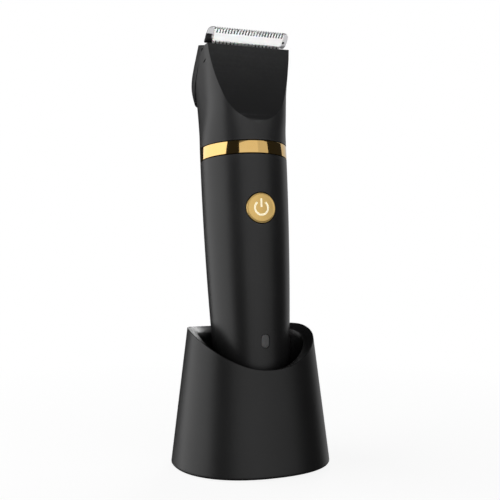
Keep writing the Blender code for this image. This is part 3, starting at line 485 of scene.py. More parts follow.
def circuit_board():
    """Green solder mask with a faint weave and pale copper runs under it."""
    shader = Shader("look_circuit_board")
    brick = shader.tree.nodes.new("ShaderNodeTexBrick")
    brick.inputs["Scale"].default_value = 420.0
    brick.inputs["Mortar Size"].default_value = 0.035
    brick.inputs["Color1"].default_value = (0.012, 0.085, 0.035, 1.0)
    brick.inputs["Color2"].default_value = (0.014, 0.10, 0.04, 1.0)
    brick.inputs["Mortar"].default_value = (0.04, 0.17, 0.07, 1.0)
    turned_place = shader.tree.nodes.new("ShaderNodeMapping")
    turned_place.inputs["Rotation"].default_value = (math.radians(90.0), 0.0, 0.0)
    shader.link(shader.place, turned_place.inputs["Vector"])
    shader.link(turned_place.outputs["Vector"], brick.inputs["Vector"])
    shader.set("Base Color", brick.outputs["Color"])
    shader.set("Roughness", shader.ranged(shader.noise(900.0), 0.3, 0.7, 0.3, 0.45))
    shader.bump(shader.noise(4000.0), 0.2, 0.01)
    return shader.material


def battery_wrap():
    shader = Shader("look_battery_wrap")
    crease = shader.noise(90.0, 4.0, (1.0, 1.0, 0.2))
    tint = shader.ranged(crease, 0.3, 0.7, 0.0, 1.0)
    shader.set("Base Color", shader.mixed(tint, (0.05, 0.13, 0.30), (0.08, 0.18, 0.38)))
    shader.set("Roughness", shader.ranged(crease, 0.3, 0.7, 0.28, 0.42))
    shader.bump(crease, 0.4, 0.08)
    return shader.material


# ---- mesh helpers ---------------------------------------------------------------------------
def make_piece(name, mesh_data, look, place, body=None, sharp_angle=32.0):
    bmesh.ops.scale(mesh_data, verts=mesh_data.verts, vec=(METRES, METRES, METRES))
    bmesh.ops.recalc_face_normals(mesh_data, faces=mesh_data.faces)
    mesh = bpy.data.meshes.new(name)
    mesh_data.to_mesh(mesh)
    mesh_data.free()
    mesh.materials.append(look)
    item = bpy.data.objects.new(name, mesh)
    bpy.context.scene.collection.objects.link(item)
    item.matrix_world = place
    smooth(item, sharp_angle)
    if body:
        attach(item, body)
    return item


def smooth(item, sharp_angle=32.0):
    item.data.shade_smooth()
    item.data.set_sharp_from_angle(angle=math.radians(sharp_angle))


def combine(target, tool, operation="DIFFERENCE"):
    """Apply an exact Boolean of `tool` to `target`, and remove the tool."""
    look = target.data.materials[0]
    modifier = target.modifiers.new("combine", "BOOLEAN")
    modifier.operation = operation
    modifier.solver = "EXACT"
    modifier.object = tool
    bpy.context.view_layer.update()
    graph = bpy.context.evaluated_depsgraph_get()
    mesh = bpy.data.meshes.new_from_object(target.evaluated_get(graph))
    target.modifiers.clear()
    target.data = mesh
    mesh.materials.clear()
    mesh.materials.append(look)
    bpy.data.objects.remove(tool)
    smooth(target)
    return target


def cut_with(target, mesh_data, operation="DIFFERENCE"):
    tool = make_piece("tool", mesh_data, target.data.materials[0], target.matrix_world.copy())
    return combine(target, tool, operation)


def oval(half_width, front, rear, exponent, count=ROUND):
    points = []
    for index in range(count):
        angle = 2.0 * math.pi * (index + 0.5) / count
        cosine = math.cos(angle)
        sine = math.sin(angle)
        depth = rear if sine > 0 else front
        x = math.copysign(abs(cosine) ** (2.0 / exponent), cosine) * half_width
        y = math.copysign(abs(sine) ** (2.0 / exponent), sine) * depth
        points.append((x, y))
    return points


def circle(radius, count=48, centre=(0.0, 0.0)):
    turn = 2.0 * math.pi / count
    return [
        (centre[0] + radius * math.cos(turn * (i + 0.5)), centre[1] + radius * math.sin(turn * (i + 0.5)))
        for i in range(count)
    ]


def at_height(outline, height):
    return [(x, y, height) for x, y in outline]


def loft(rings, closed_loop=False):
    mesh_data = bmesh.new()
    loops = [[mesh_data.verts.new(point) for point in ring] for ring in rings]
    count = len(loops[0])
    pairs = list(zip(loops, loops[1:]))
    if closed_loop:
        pairs.append((loops[-1], loops[0]))
    else:
        mesh_data.faces.new(loops[0][::-1])
        mesh_data.faces.new(loops[-1])
    for lower, upper in pairs:
        for index in range(count):
            after = (index + 1) % count
            mesh_data.faces.new((lower[index], lower[after], upper[after], upper[index]))
    return mesh_data


def turned(profile, count=ROUND, centre=(0.0, 0.0), closed_loop=False):
    return loft([at_height(circle(radius, count, centre), height) for radius, height in profile], closed_loop)


def box(low, high):
    outline = [(low[0], low[1]), (high[0], low[1]), (high[0], high[1]), (low[0], high[1])]
    return loft([at_height(outline, low[2]), at_height(outline, high[2])])


def prism_x(outline, low, high):
    return loft([[(low, y, z) for y, z in outline], [(high, y, z) for y, z in outline]])


def prism_y(outline, low, high):
    return loft([[(x, low, z) for x, z in outline], [(x, high, z) for x, z in outline]])


def pill(half_width, half_height, count=24):
    points = []
    straight = half_height - half_width
    for index in range(count + 1):
        angle = math.pi * index / count
        points.append((half_width * math.cos(angle), straight + half_width * math.sin(angle)))
    points += [(-x, -z) for x, z in points]
    return points


def moved(outline, shift_a, shift_b):
    return [(a + shift_a, b + shift_b) for a, b in outline]


def blended(sections, steps):
    """Evenly spaced cross-sections between the given ones, eased through them with a Catmull-Rom curve."""
    result = []
    last = len(sections) - 1
    for index in range(last):
        before = sections[max(index - 1, 0)]
        start = sections[index]
        end = sections[index + 1]
        after = sections[min(index + 2, last)]
        for step in range(steps):
            height = start[0] + (end[0] - start[0]) * step / steps
            shape = [curve(before[k], start[k], end[k], after[k], step / steps) for k in range(1, 5)]
            result.append((height, *shape))
    result.append(tuple(sections[-1]))
    return result


def curve(before, start, end, after, share):
    square = share * share
    cube = square * share
    return 0.5 * (
        2.0 * start
        + (end - before) * share
        + (2.0 * before - 5.0 * start + 4.0 * end - after) * square
        + (3.0 * start - before - 3.0 * end + after) * cube
    )


# ---- stand ----------------------------------------------------------------------------------
def stand_outline(height, inset=0.0):
    half_width = BASE_HALF_WIDTH * (1.0 - SIDE_TAPER * height) - inset
    front = BASE_FRONT_DEPTH * (1.0 - FRONT_TAPER * height) - inset
    rear = BASE_REAR_DEPTH * (1.0 - REAR_TAPER * height) - inset
    return oval(half_width, front, rear, STAND_EXPONENT)


def rim_height(y):
    slope = math.tan(LEAN)
    centre_y, centre_z = RIM_CURVE_CENTRE
    tangent_y = centre_y + RIM_CURVE_RADIUS * math.sin(LEAN)
    if y >= tangent_y:
        return centre_z + RIM_CURVE_RADIUS * math.cos(LEAN) - slope * (y - tangent_y)
    return centre_z + math.sqrt(RIM_CURVE_RADIUS ** 2 - (y - centre_y) ** 2)


def rim_ring(inset):
    ring = []
    for index in range(ROUND):
        height = RIM_HEIGHT
        for _ in range(12):
            height = rim_height(stand_outline(height)[index][1])
        x, y = stand_outline(height, inset)[index]
        ring.append((x, y, height))
    return ring


def rim_drop(y):
    share = min(1.0, max(0.0, (y - RIM_DROP_START) / (RIM_DROP_END - RIM_DROP_START)))
    return RIM_DROP_FRONT + (RIM_DROP_BACK - RIM_DROP_FRONT) * share


def cup_ring(radius, height):
    ring = []
    for x, y in circle(radius, ROUND):
        across = y * math.cos(LEAN) + height * math.sin(LEAN)
        up = height * math.cos(LEAN) - y * math.sin(LEAN)
        ring.append((x, GROOMER_FOOT[1] + across, GROOMER_FOOT[2] + up))
    return ring


def blend_rings(first, second, share, height_share=None):
    rise = share if height_share is None else height_share
    return [
        (a[0] + (b[0] - a[0]) * share, a[1] + (b[1] - a[1]) * share, a[2] + (b[2] - a[2]) * rise)
        for a, b in zip(first, second)
    ]


def lowered(ring, depth):
    return [(x, y, z - depth) for x, y, z in ring]


def make_stand(looks):
    rim_outer = rim_ring(0.0)
    rim_inner = [(x, y, z - rim_drop(y)) for x, y, z in rim_ring(RIM_WIDTH)]
    floor_top = cup_ring(CUP_FLOOR_RADIUS, -GAP)
    rings = [at_height(stand_outline(STAND_LIFT, 0.8), STAND_LIFT)]
    for share in (0.0, 0.33, 0.66, 1.0):
        turn = share * math.pi / 2
        inset = FOOT_ROUND * (1.0 - math.sin(turn))
        height = STAND_LIFT + (1.0 - math.cos(turn)) + 0.02
        rings.append(at_height(stand_outline(height, inset), height))
    low_side = at_height(stand_outline(STAND_LIFT + FOOT_TOP), STAND_LIFT + FOOT_TOP)
    rings += [blend_rings(low_side, rim_outer, step / 24) for step in range(24)]
    rings.append(blend_rings(low_side, rim_outer, 0.996))
    rings.append(blend_rings(rim_outer, rim_inner, 0.05))
    rings.append(blend_rings(rim_outer, rim_inner, 0.5))
    rings.append(blend_rings(rim_outer, rim_inner, 0.95))
    rings.append(blend_rings(rim_inner, floor_top, 0.002, 0.006))
    rings += [blend_rings(rim_inner, floor_top, (step / 16) ** 1.6, step / 16) for step in range(1, 16)]
    rings.append(blend_rings(rim_inner, floor_top, 0.99, 1.0))
    rings.append(cup_ring(CUP_FLOOR_RADIUS - 1.0, -GAP))
    shell = make_piece("stand_body", loft(rings), looks["stand_black"], STAND, "stand")
    hollow = [at_height(stand_outline(-1.0, STAND_WALL), -1.0)]
    hollow.append(at_height(stand_outline(HOLLOW_TOP, STAND_WALL), HOLLOW_TOP))
    hollow_tool = make_piece("hollow", loft(hollow), looks["stand_black"], STAND)
    under = cup_ring(CUP_FLOOR_RADIUS + CUP_WALL, -GAP - CUP_FLOOR)
    cup = [under, blend_rings(under, cup_ring(CUP_FLOOR_RADIUS + CUP_WALL, 12.0), 0.5)]
    cup.append(at_height(oval(*CUP_MOUTH), HOLLOW_TOP + 3.0))
    cup_tool = make_piece("cup", loft(cup), looks["stand_black"], STAND)
    shell = combine(shell, combine(hollow_tool, cup_tool))
    for side in (-1, 1):
        hole = turned(((PIN_HOLE_RADIUS, -6.0), (PIN_HOLE_RADIUS, 2.0)), 32, (side * PIN_SPACING / 2, 0.0))
        shell = combine(shell, make_piece("pin_hole", hole, looks["stand_black"], GROOMER))
    inlet = moved([(z, x) for x, z in pill(INLET_RADIUS + 0.3, INLET_HALF_WIDTH + 0.3)], 0.0, INLET_HEIGHT)
    shell = cut_with(shell, prism_y(inlet, 20.0, 40.0))
    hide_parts("stand_shell")


def make_pin_springs(looks):
    """Coil springs under the charging pins."""
    for side, word in ((-1, "left"), (1, "right")):
        centre = (side * PIN_SPACING / 2, 0.0)
        coil = make_piece("pin_coil_" + word, coil_mesh(centre), looks["steel"], GROOMER, "stand", 60.0)
        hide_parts("pin_spring_" + word)
        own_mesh(coil)


def coil_mesh(centre):
    """Round wire wound about +Z, with flat capped ends."""
    rings = []
    rise = SPRING_HEAD - SPRING_FOOT - 2.0 * SPRING_WIRE
    for step in range(SPRING_TURNS * SPRING_STEPS + 1):
        angle = 2.0 * math.pi * step / SPRING_STEPS
        middle = SPRING_FOOT + SPRING_WIRE + rise * step / (SPRING_TURNS * SPRING_STEPS)
        ring = []
        for across, up in circle(SPRING_WIRE, 10):
            reach = SPRING_RADIUS + across
            x = centre[0] + reach * math.cos(angle)
            y = centre[1] + reach * math.sin(angle)
            ring.append((x, y, middle + up))
        rings.append(ring)
    return loft(rings)


# ---- handle ---------------------------------------------------------------------------------
def handle_radius(height):
    return HANDLE_RADIUS - HANDLE_TAPER * (1.0 - height / BAND_TOP) ** 2


def make_handle(looks):
    low = CAP_TOP + GAP
    steps = 40
    span = SHELL_TOP - low - 2.0 * EDGE_CHAMFER
    heights = [low + EDGE_CHAMFER + span * index / steps for index in range(steps + 1)]
    profile = [(handle_radius(low) - EDGE_CHAMFER, low)]
    profile += [(handle_radius(height), height) for height in heights]
    profile += [(handle_radius(SHELL_TOP) - EDGE_CHAMFER, SHELL_TOP)]
    inner = [SHELL_TOP - (SHELL_TOP - low) * index / 8 for index in range(9)]
    profile += [(handle_radius(height) - HANDLE_WALL, height) for height in inner]
    tube = turned(profile, closed_loop=True)
    shell = make_piece("handle_body", tube, looks["soft_black"], GROOMER, "groomer")
    opening = moved(circle(BUTTON_RADIUS + BUTTON_GAP, BUTTON_POINTS), 0.0, BUTTON_HEIGHT)
    shell = cut_with(shell, prism_y(opening, -25.0, -10.0))
    window = moved(pill(LIGHT_HALF_WIDTH + 0.1, LIGHT_HALF_HEIGHT + 0.1), 0.0, LIGHT_HEIGHT)
    shell = cut_with(shell, prism_y(window, -25.0, -10.0))
    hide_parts("handle_shell")


def make_end_cap(looks):
    inner = handle_radius(CAP_TOP) - HANDLE_WALL - GAP
    edge = []
    for index in range(9):
        turn = math.pi / 2 * index / 8
        radius = handle_radius(0.0) - CAP_EDGE * (1.0 - math.sin(turn))
        edge.append((radius, CAP_EDGE * (1.0 - math.cos(turn))))
    side = [(handle_radius(height), height) for height in (3.5, 5.0, 6.5, 8.0, CAP_TOP - EDGE_CHAMFER)]
    profile = edge + side + [(handle_radius(CAP_TOP) - EDGE_CHAMFER, CAP_TOP), (inner, CAP_TOP)]
    profile += [(inner, CAP_TOP + 3.6), (inner - 1.6, CAP_TOP + 3.6), (inner - 1.6, 3.0)]
    cap = make_piece("end_cap_body", turned(profile), looks["soft_black"], GROOMER, "groomer")
    for side_sign in (-1, 1):
        place = (side_sign * PIN_SPACING / 2, 0.0)
        cap = cut_with(cap, turned(((CONTACT_HOLE_RADIUS, -1.0), (CONTACT_HOLE_RADIUS, 6.0)), 48, place))
    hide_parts("end_cap")


def make_band(looks):
    """Gold band with fine rounded edges and a straight face."""
    inner = SPIGOT_RADIUS + GAP
    profile = []
    for index in range(5):
        turn = math.pi / 2 * index / 4
        radius = HANDLE_RADIUS - BAND_EDGE * (1.0 - math.sin(turn))
        profile.append((radius, BAND_BOTTOM + BAND_EDGE * (1.0 - math.cos(turn))))
    profile += [(radius, BAND_BOTTOM + BAND_TOP - height) for radius, height in reversed(profile)]
    profile += [(inner, BAND_TOP), (inner, BAND_BOTTOM)]
    ring = turned(profile, 256, closed_loop=True)
    band = make_piece("band_ring", ring, looks["polished_gold"], GROOMER, "groomer")
    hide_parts("gold_band")


def face_depth(x, height):
    """Front of the handle's surface at a place on it."""
    radius = handle_radius(height)
    return -math.sqrt(radius * radius - x * x)


def make_button(looks):
    """Button cap: rings of points whose depth follows the handle's round front."""
    place = GROOMER @ Matrix.Translation((0.0, 0.0, BUTTON_HEIGHT * METRES))
    rings = [[(x, BUTTON_BACK, z) for x, z in circle(BUTTON_RADIUS, BUTTON_POINTS)]]
    rings += [button_ring(radius, sink) for radius, sink in BUTTON_PROFILE]
    mesh_data = loft(rings)
    cap = make_piece("button_cap", mesh_data, looks["brushed_gold"], place, "button", 40.0)
    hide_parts("power_button")
    make_symbol(looks, place)


def button_ring(radius, sink):
    return [(x, button_depth(x, z) + sink, z) for x, z in circle(radius, BUTTON_POINTS)]


def button_depth(x, z):
    """Depth of the button's face, a little flatter than the handle it sits in."""
    return face_depth(x * BUTTON_FLATNESS, BUTTON_HEIGHT + z)


def make_symbol(looks, place):
    """Generic on/off sign: an open ring and a short bar, inlaid in the button's face."""
    parts = bmesh.new()
    ring = []
    for index in range(49):
        angle = SIGN_GAP + (2.0 * math.pi - 2.0 * SIGN_GAP) * index / 48
        x = math.sin(angle)
        z = math.cos(angle)
        ring.append(((x * SIGN_INNER, z * SIGN_INNER), (x * SIGN_OUTER, z * SIGN_OUTER)))
    add_ribbon(parts, ring)
    add_ribbon(parts, [((-SIGN_BAR_HALF_WIDTH, z), (SIGN_BAR_HALF_WIDTH, z)) for z in SIGN_BAR_HEIGHTS])
    sign = make_piece("button_sign", parts, looks["inlay"], place, "button", 40.0)


def add_ribbon(mesh_data, pairs):
    """Thin closed ribbon that lies on the button's curved face."""
    rows = []
    for first, second in pairs:
        row = []
        for x, z in (first, second):
            depth = button_depth(x, z) + BUTTON_PROFILE[-1][1]
            row.append(mesh_data.verts.new((x, depth - 0.02, z)))
            row.append(mesh_data.verts.new((x, depth + 0.5, z)))
        rows.append(row)
    for a, b in zip(rows, rows[1:]):
        mesh_data.faces.new((a[0], a[2], b[2], b[0]))
        mesh_data.faces.new((a[1], b[1], b[3], a[3]))
        mesh_data.faces.new((a[0], b[0], b[1], a[1]))
        mesh_data.faces.new((a[2], a[3], b[3], b[2]))
    for row in (rows[0], rows[-1]):
        mesh_data.faces.new((row[0], row[1], row[3], row[2]))


def make_light_window(looks):
    """Smoked light window with a softly rounded rim, flush with the handle."""
    place = GROOMER @ Matrix.Translation((0.0, 0.0, LIGHT_HEIGHT * METRES))
    rings = []
    for shrink, sink in ((0.0, 2.4), (0.0, 0.35), (0.08, 0.16), (0.3, 0.08), (0.9, 0.07), (1.55, 0.07)):
        outline = pill(LIGHT_HALF_WIDTH - shrink, LIGHT_HALF_HEIGHT - shrink)
        rings.append([(x, face_depth(x, LIGHT_HEIGHT + z) + sink, z) for x, z in outline])
    window = make_piece("light_window", loft(rings), looks["smoked_lens"], place, "groomer", 40.0)
    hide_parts("light_pipe")


# ---- head -----------------------------------------------------------------------------------
def head_ring(section, inset=0.0):
    height, half_width, front, rear, exponent = section
    return at_height(oval(half_width - inset, front - inset, rear - inset, exponent), height)


def facet_outline(inset=0.0):
    low_y, low_z = FACET_BOTTOM
    high_y, high_z = FACET_TOP
    points = []
    for index in range(49):
        share = index / 48 * 1.12
        y = low_y + (high_y - low_y) * share + 4.0 * FACET_HOLLOW * share * (1.0 - share)
        points.append((y + inset, low_z + (high_z - low_z) * share))
    return points + [(-40.0, points[-1][1]), (-40.0, low_z)]


def eased_line(points, steps=6):
    line = []
    last = len(points) - 1
    for index in range(last):
        around = [points[max(index - 1, 0)], points[index], points[index + 1], points[min(index + 2, last)]]
        for step in range(steps):
            line.append(tuple(curve(*[p[k] for p in around], step / steps) for k in range(2)))
    line.append(points[-1])
    return line


def make_head(looks):
    sections = blended(HEAD_SECTIONS, 6)
    form = loft([head_ring(section) for section in sections])
    housing = make_piece("head_body", form, looks["soft_black"], GROOMER, "groomer")
    housing = cut_with(housing, prism_x(facet_outline(), -40.0, 40.0))
    side = [(-40.0, 100.0), (-40.0, FACET_TOP[1]), FACET_TOP, CHEEK_TOP]
    side += eased_line(PARTING_LINE) + [(40.0, PARTING_LINE[-1][1]), (40.0, 100.0)]
    housing = cut_with(housing, prism_x(side, -40.0, 40.0), "INTERSECT")
    spigot = turned(((SPIGOT_RADIUS, SPIGOT_BOTTOM), (SPIGOT_RADIUS, SHOULDER + 1.0)))
    housing = cut_with(housing, spigot, "UNION")
    inside = [at_height(circle(SPIGOT_RADIUS - SPIGOT_WALL, ROUND), SPIGOT_BOTTOM - 1.0)]
    inside.append(at_height(circle(SPIGOT_RADIUS - SPIGOT_WALL, ROUND), SHOULDER))
    inside += [head_ring(section, HEAD_WALL) for section in sections[6:]]
    hollow = make_piece("hollow", loft(inside), looks["soft_black"], GROOMER)
    hollow = cut_with(hollow, prism_x(facet_outline(HEAD_WALL), -40.0, 40.0))
    housing = combine(housing, hollow)
    housing = cut_with(housing, side_slot())
    smooth(housing, 24.0)
    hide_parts("head_housing")


def side_slot():
    """Small slanted recess on the head's left cheek."""
    outline = []
    cosine = math.cos(SIDE_SLOT_SLANT)
    sine = math.sin(SIDE_SLOT_SLANT)
    for x, z in pill(0.34, 1.45, 12):
        y = SIDE_SLOT_PLACE[0] + x * cosine + z * sine
        outline.append((y, SIDE_SLOT_PLACE[1] - x * sine + z * cosine))
    return prism_x(outline, -25.0, -18.3)


def make_rear_cover(looks):
    sections = blended(COVER_SECTIONS, 6)
    form = loft([head_ring(section) for section in sections])
    cover = make_piece("cover_body", form, looks["satin_black"], GROOMER)
    edge = [(y + COVER_GROOVE, z + COVER_GROOVE) for y, z in eased_line(PARTING_LINE)]
    roof = list(reversed(COVER_ROOF))
    joint = list(COVER_FRONT) + [point for point in edge if point[0] > COVER_FRONT_END]
    rear_corner = (40.0, PARTING_LINE[-1][1] + COVER_GROOVE)
    side = joint + [rear_corner, (40.0, 180.0), (roof[0][0], 180.0)] + roof
    cover = cut_with(cover, prism_x(side, -40.0, 40.0), "INTERSECT")
    inside = [head_ring(section, COVER_WALL) for section in sections]
    inside[0] = lowered(inside[0], 3.0)
    hollow = make_piece("hollow", loft(inside), looks["satin_black"], GROOMER)
    under = [(-30.0, 130.0), (-30.0, COVER_ROOF[0][1] - COVER_WALL)]
    under += [(y - 0.3, z - COVER_WALL) for y, z in COVER_ROOF[1:]] + [(40.0, 168.0), (40.0, 130.0)]
    hollow = cut_with(hollow, prism_x(under, -40.0, 40.0), "INTERSECT")
    cover = combine(cover, hollow)
    mouth_low = (-COVER_MOUTH_HALF_WIDTH, -10.0, 155.0)
    mouth_high = (COVER_MOUTH_HALF_WIDTH, COVER_MOUTH, 170.0)
    cover = cut_with(cover, box(mouth_low, mouth_high))
    for step in range(GRIP_GROOVES):
        cover = cut_with(cover, grip_groove(GRIP_FOOT + GRIP_PITCH * step))
    cover.data.transform(cover.matrix_world)
    cover.matrix_world = STAND
    smooth(cover, 24.0)
    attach(cover, "cutting_unit")
    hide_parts("rear_cover")


def grip_groove(height):
    """Shallow groove across the cover's back, for the thumb."""
    surface = 20.1 if height < 148.0 else 20.2
    low = height - GRIP_HALF_HEIGHT
    high = height + GRIP_HALF_HEIGHT
    reach = GRIP_HALF_WIDTH
    tip = GRIP_HALF_WIDTH + 0.6
    outline = [(-reach, low), (reach, low), (tip, height), (reach, high), (-reach, high), (-tip, height)]
    return prism_y(outline, surface - GRIP_DEPTH, surface + 5.0)


# ---- cutting unit ---------------------------------------------------------------------------
def scallop_edge(half_width, count, depth):
    pitch = 2.0 * half_width / count
    radius = pitch * SCALLOP_ROUND
    points = []
    for tooth in range(count):
        middle = -half_width + pitch * (tooth + 0.5)
        points.append((middle - pitch * SCALLOP_FLANK, depth))
        for step in range(9):
            angle = math.pi * (1.0 + step / 8)
            points.append((middle + radius * math.cos(angle), radius * (1.0 + math.sin(angle))))
        points.append((middle + pitch * SCALLOP_FLANK, depth))
    return points


def slot_edge(half_width, count, depth, tip, slot_share=0.46):
    """Toothed edge, right to left: blunt tapered teeth with round-ended slots between them."""
    pitch = 2.0 * half_width / (count + 0.5)
    half = pitch * slot_share / 2
    wide = half * 1.35
    floor = tip - depth + half
    points = []
    for slot in range(count):
        middle = half_width - pitch * (slot + 0.5) - half
        points += [(middle + wide, tip), (middle + half, tip - 0.3), (middle + half, floor)]
        for step in range(1, 6):
            angle = math.pi * step / 6
            points.append((middle + half * math.cos(angle), floor - half * math.sin(angle)))
        points += [(middle - half, floor), (middle - half, tip - 0.3), (middle - wide, tip)]
    return points


def make_cutter(looks):
    outline = [(-CUTTER_HALF_WIDTH, SCALLOP_DEPTH)] + scallop_edge(CUTTER_HALF_WIDTH, SCALLOPS, SCALLOP_DEPTH)
    corner = CUTTER_LENGTH - CUTTER_CORNER
    outline += [(CUTTER_HALF_WIDTH, SCALLOP_DEPTH), (CUTTER_HALF_WIDTH, corner)]
    outline += [(CUTTER_HALF_WIDTH - CUTTER_CORNER, CUTTER_LENGTH)]
    outline += slot_edge(CUTTER_HALF_WIDTH, CUTTER_TEETH, CUTTER_SLOT_DEPTH, CUTTER_LENGTH)
    outline += [(-CUTTER_HALF_WIDTH + CUTTER_CORNER, CUTTER_LENGTH), (-CUTTER_HALF_WIDTH, corner)]
    form = prism_y(outline, 0.0, CUTTER_THICKNESS)
    plate = make_piece("cutter_plate", form, looks["ceramic"], BLADE, "moving_blade")
    # Painted shade: the walls of the slots get the dark grey look, so the slots read dark.
    plate.data.materials.append(looks["painted_slot_shade"])
    slot_foot = CUTTER_LENGTH - CUTTER_SLOT_DEPTH - 0.1
    for face in plate.data.polygons:
        middle = face.center.z / METRES
        if abs(face.normal.y) < 0.5 and slot_foot < middle < CUTTER_LENGTH - 0.05:
            face.material_index = 1
    soften(plate, 0.05)
    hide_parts("cutter")


def soften(item, width):
    bevel = item.modifiers.new("soft edges", "BEVEL")
    bevel.width = width * METRES
    bevel.segments = 1
    bevel.limit_method = "ANGLE"
    bevel.angle_limit = math.radians(40.0)


def make_comb_screws(looks):
    """Pan-head screws with a cross recess that hold the comb to its carrier from behind."""
    for name, side in (("left", -1), ("right", 1)):
        centre = (side * COMB_SCREW_PLACE[0], COMB_SCREW_PLACE[1])
        rings = [(0.8, COMB_FRONT + 0.1), (0.8, 5.1), (1.4, 5.12), (1.4, 5.45)]
        rings += [(1.3, 5.66), (1.05, 5.8), (0.5, 5.87)]
        mesh_data = loft([[(x, depth, z) for x, z in circle(radius, 32, centre)] for radius, depth in rings])
        screw = make_piece("comb_fixing_" + name, mesh_data, looks["steel"], BLADE, "cutting_unit")
        for half_x, half_z in ((0.75, 0.16), (0.16, 0.75)):
            low = (centre[0] - half_x, 5.45, centre[1] - half_z)
            high = (centre[0] + half_x, 6.5, centre[1] + half_z)
            screw = cut_with(screw, box(low, high))
        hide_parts("comb_screw_" + name)


def make_ear_rivet(looks):
    """Dark rivet that fills the hole in the comb's right ear."""
    rings = [(0.58, COMB_FRONT + 0.25), (0.58, COMB_BACK - 0.05)]
    mesh_data = loft([[(x, depth, z) for x, z in circle(radius, 24, EAR_HOLE)] for radius, depth in rings])
    rivet = make_piece("ear_rivet", mesh_data, looks["satin_black"], BLADE, "cutting_unit")


def comb_outline():
    reach = COMB_HALF_WIDTH
    outline = [(-reach, EAR_BOTTOM), (-CUTTER_HALF_WIDTH - 0.2, EAR_BOTTOM), (-CUTTER_HALF_WIDTH - 0.2, 2.0)]
    outline += [(-WINDOW_HALF_WIDTH, 2.0), (-WINDOW_HALF_WIDTH, WINDOW_TOP)]
    outline += [(WINDOW_HALF_WIDTH, WINDOW_TOP), (WINDOW_HALF_WIDTH, 2.0), (CUTTER_HALF_WIDTH + 0.6, 2.0)]
    outline += [(CUTTER_HALF_WIDTH + 0.6, -0.2), (reach - 1.0, -0.4), (reach - 0.3, 0.4), (reach, 1.4)]
    for step in range(7):
        angle = math.pi / 2 * step / 6
        outline.append((reach - 2.4 + 2.4 * math.cos(angle), COMB_TIP - 3.0 + 3.0 * math.sin(angle)))
    outline += slot_edge(CUTTER_HALF_WIDTH, COMB_TEETH, COMB_SLOT_DEPTH, COMB_TIP)
    for step in range(7):
        angle = math.pi / 2 * (1.0 + step / 6)
        outline.append((-reach + 2.2 + 2.2 * math.cos(angle), COMB_TIP - 2.6 + 2.6 * math.sin(angle)))
    return outline


def make_comb(looks):
    form = prism_y(comb_outline(), COMB_FRONT, COMB_BACK)
    plate = make_piece("comb_plate", form, looks["comb_steel"], BLADE, "cutting_unit")
    plate = cut_with(plate, prism_y(moved(circle(0.6, 24), *EAR_HOLE), 0.0, 5.0))
    for side in (-1, 1):
        hole = moved(circle(1.0, 24), side * COMB_SCREW_PLACE[0], COMB_SCREW_PLACE[1])
        plate = cut_with(plate, prism_y(hole, 0.0, 5.0))
    soften(plate, 0.05)
    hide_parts("comb")


# ---- finishes of the pieces kept from the frame -------------------------------------------------
def finish_kept_nodes(looks):
    replaced = {
        "stand_shell", "handle_shell", "end_cap", "gold_band", "power_button", "light_pipe",
        "head_housing", "rear_cover", "cutter", "comb", "comb_screw_left", "comb_screw_right",
        "pin_spring_left", "pin_spring_right",
    }
    slots = {entry["node"]: entry["material_slot"] for entry in frame["record"]["subparts"]}
    for name, node in frame["nodes"].items():
        if name in replaced:
            continue
        look = looks[slots[name]]
        node.data.materials.clear()
        node.data.materials.append(look)
        for slot in node.material_slots:
            slot.material = look


# ---- studio ---------------------------------------------------------------------------------
def make_camera():
    data = bpy.data.cameras.new("camera")
    data.sensor_width = 36.0
    data.lens = CAMERA_LENS
    camera = bpy.data.objects.new("camera", data)
    bpy.context.scene.collection.objects.link(camera)
    camera.location = (
        math.sin(CAMERA_AZIMUTH) * CAMERA_DISTANCE,
        -math.cos(CAMERA_AZIMUTH) * CAMERA_DISTANCE,
        CAMERA_HEIGHT,
    )
    camera.rotation_euler = (math.radians(90.0) + CAMERA_PITCH, 0.0, CAMERA_AZIMUTH)
    bpy.context.scene.camera = camera


def make_area_light(name, size, radiance, place, aim, spread):
    """Soft rectangular light that the camera itself does not see."""
    data = bpy.data.lights.new(name, "AREA")
    data.shape = "RECTANGLE"
    data.size, data.size_y = size
    data.spread = math.radians(spread)
    data.energy = radiance * math.pi * data.size * data.size_y
    light = bpy.data.objects.new(name, data)
    bpy.context.scene.collection.objects.link(light)
    light.location = place
    light.rotation_euler = (Vector(aim) - light.location).to_track_quat("-Z", "Y").to_euler()
    light.visible_camera = False
    return light


def make_panel(name, turn, distance, width, radiance):
    """Tall panel. `turn` is its bearing round the object from the camera, in degrees."""
    bearing = CAMERA_AZIMUTH + math.radians(turn)
    place = (math.sin(bearing) * distance, -math.cos(bearing) * distance, PANEL_MIDDLE)
    make_area_light(name, (width, PANEL_HEIGHT), radiance, place, (0.0, 0.0, PANEL_AIM), PANEL_SPREAD)


def make_studio():
    world = bpy.data.worlds.new("studio")
    world.use_nodes = True
    tree = world.node_tree
    background = tree.nodes["Background"]
    path = tree.nodes.new("ShaderNodeLightPath")
    tone = tree.nodes.new("ShaderNodeMix")
    tone.data_type = "RGBA"
    tone.inputs["A"].default_value = (ROOM_TONE, ROOM_TONE, ROOM_TONE, 1.0)
    tone.inputs["B"].default_value = (1.0, 1.0, 1.0, 1.0)
    tree.links.new(path.outputs["Is Camera Ray"], tone.inputs["Factor"])
    tree.links.new(tone.outputs["Result"], background.inputs["Color"])
    bpy.context.scene.world = world
    bpy.context.scene.view_settings.view_transform = "Standard"
    for name, turn, distance, width, radiance in PANELS:
        make_panel(name, turn, distance, width, radiance)
    make_floor_bounce()
    make_rim_gleam()


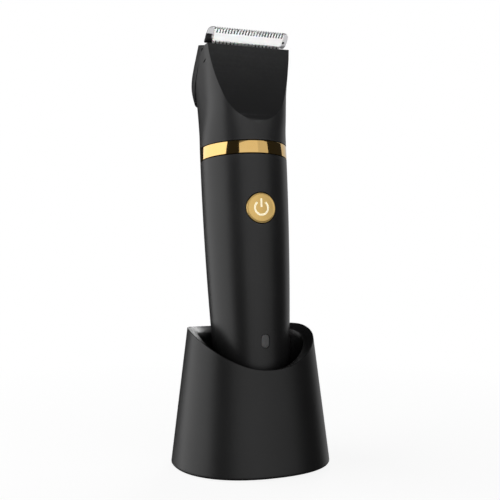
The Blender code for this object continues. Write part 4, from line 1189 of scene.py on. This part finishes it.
def make_floor_bounce():
    """Soft light thrown up from the white floor in front, which brightens the blade's underside."""
    light = make_area_light(
        "floor_bounce", BOUNCE_SIZE, BOUNCE_RADIANCE, BOUNCE_PLACE, BOUNCE_AIM, BOUNCE_SPREAD
    )
    light.visible_glossy = False


def make_rim_gleam():
    """Small high panel far behind, for the gleam along the back of the stand's sloping rim."""
    make_area_light(
        "rim_gleam", RIM_GLEAM_SIZE, RIM_GLEAM_RADIANCE, RIM_GLEAM_PLACE, RIM_GLEAM_AIM, RIM_GLEAM_SPREAD
    )


def make_floor():
    """White studio floor: lit near the stand, and fading into the bright backdrop further out."""
    mesh_data = bmesh.new()
    reach = FLOOR_REACH
    corners = ((-reach, -reach), (reach, -reach), (reach, reach), (-reach, reach))
    mesh_data.faces.new([mesh_data.verts.new((x, y, 0.0)) for x, y in corners])
    mesh = bpy.data.meshes.new("floor")
    mesh_data.to_mesh(mesh)
    mesh_data.free()
    floor = bpy.data.objects.new("floor", mesh)
    bpy.context.scene.collection.objects.link(floor)
    shader = Shader("look_floor")
    distance = shader.tree.nodes.new("ShaderNodeVectorMath")
    distance.operation = "LENGTH"
    shader.link(shader.place, distance.inputs[0])
    fade = shader.ranged(distance.outputs["Value"], 0.05, 0.30, 0.0, 1.0)
    shader.set("Base Color", shader.mixed(fade, (0.35, 0.35, 0.35), (0.0, 0.0, 0.0)))
    shader.set("Emission Color", shader.mixed(fade, (0.88, 0.88, 0.88), (1.0, 1.0, 1.0)))
    shader.set("Emission Strength", 1.0)
    shader.set("Roughness", 1.0)
    shader.set("Specular IOR Level", 0.0)
    mesh.materials.append(shader.material)
    floor.location = (0.0, 0.0, FLOOR_HEIGHT)
    floor.visible_diffuse = False
    floor.visible_glossy = False
    floor.visible_shadow = False


def main():
    looks = make_looks()
    make_camera()
    make_studio()
    make_floor()
    make_stand(looks)
    make_pin_springs(looks)
    make_handle(looks)
    make_end_cap(looks)
    make_band(looks)
    make_button(looks)
    make_light_window(looks)
    make_head(looks)
    make_rear_cover(looks)
    make_cutter(looks)
    make_comb(looks)
    make_comb_screws(looks)
    make_ear_rivet(looks)
    finish_kept_nodes(looks)


main()
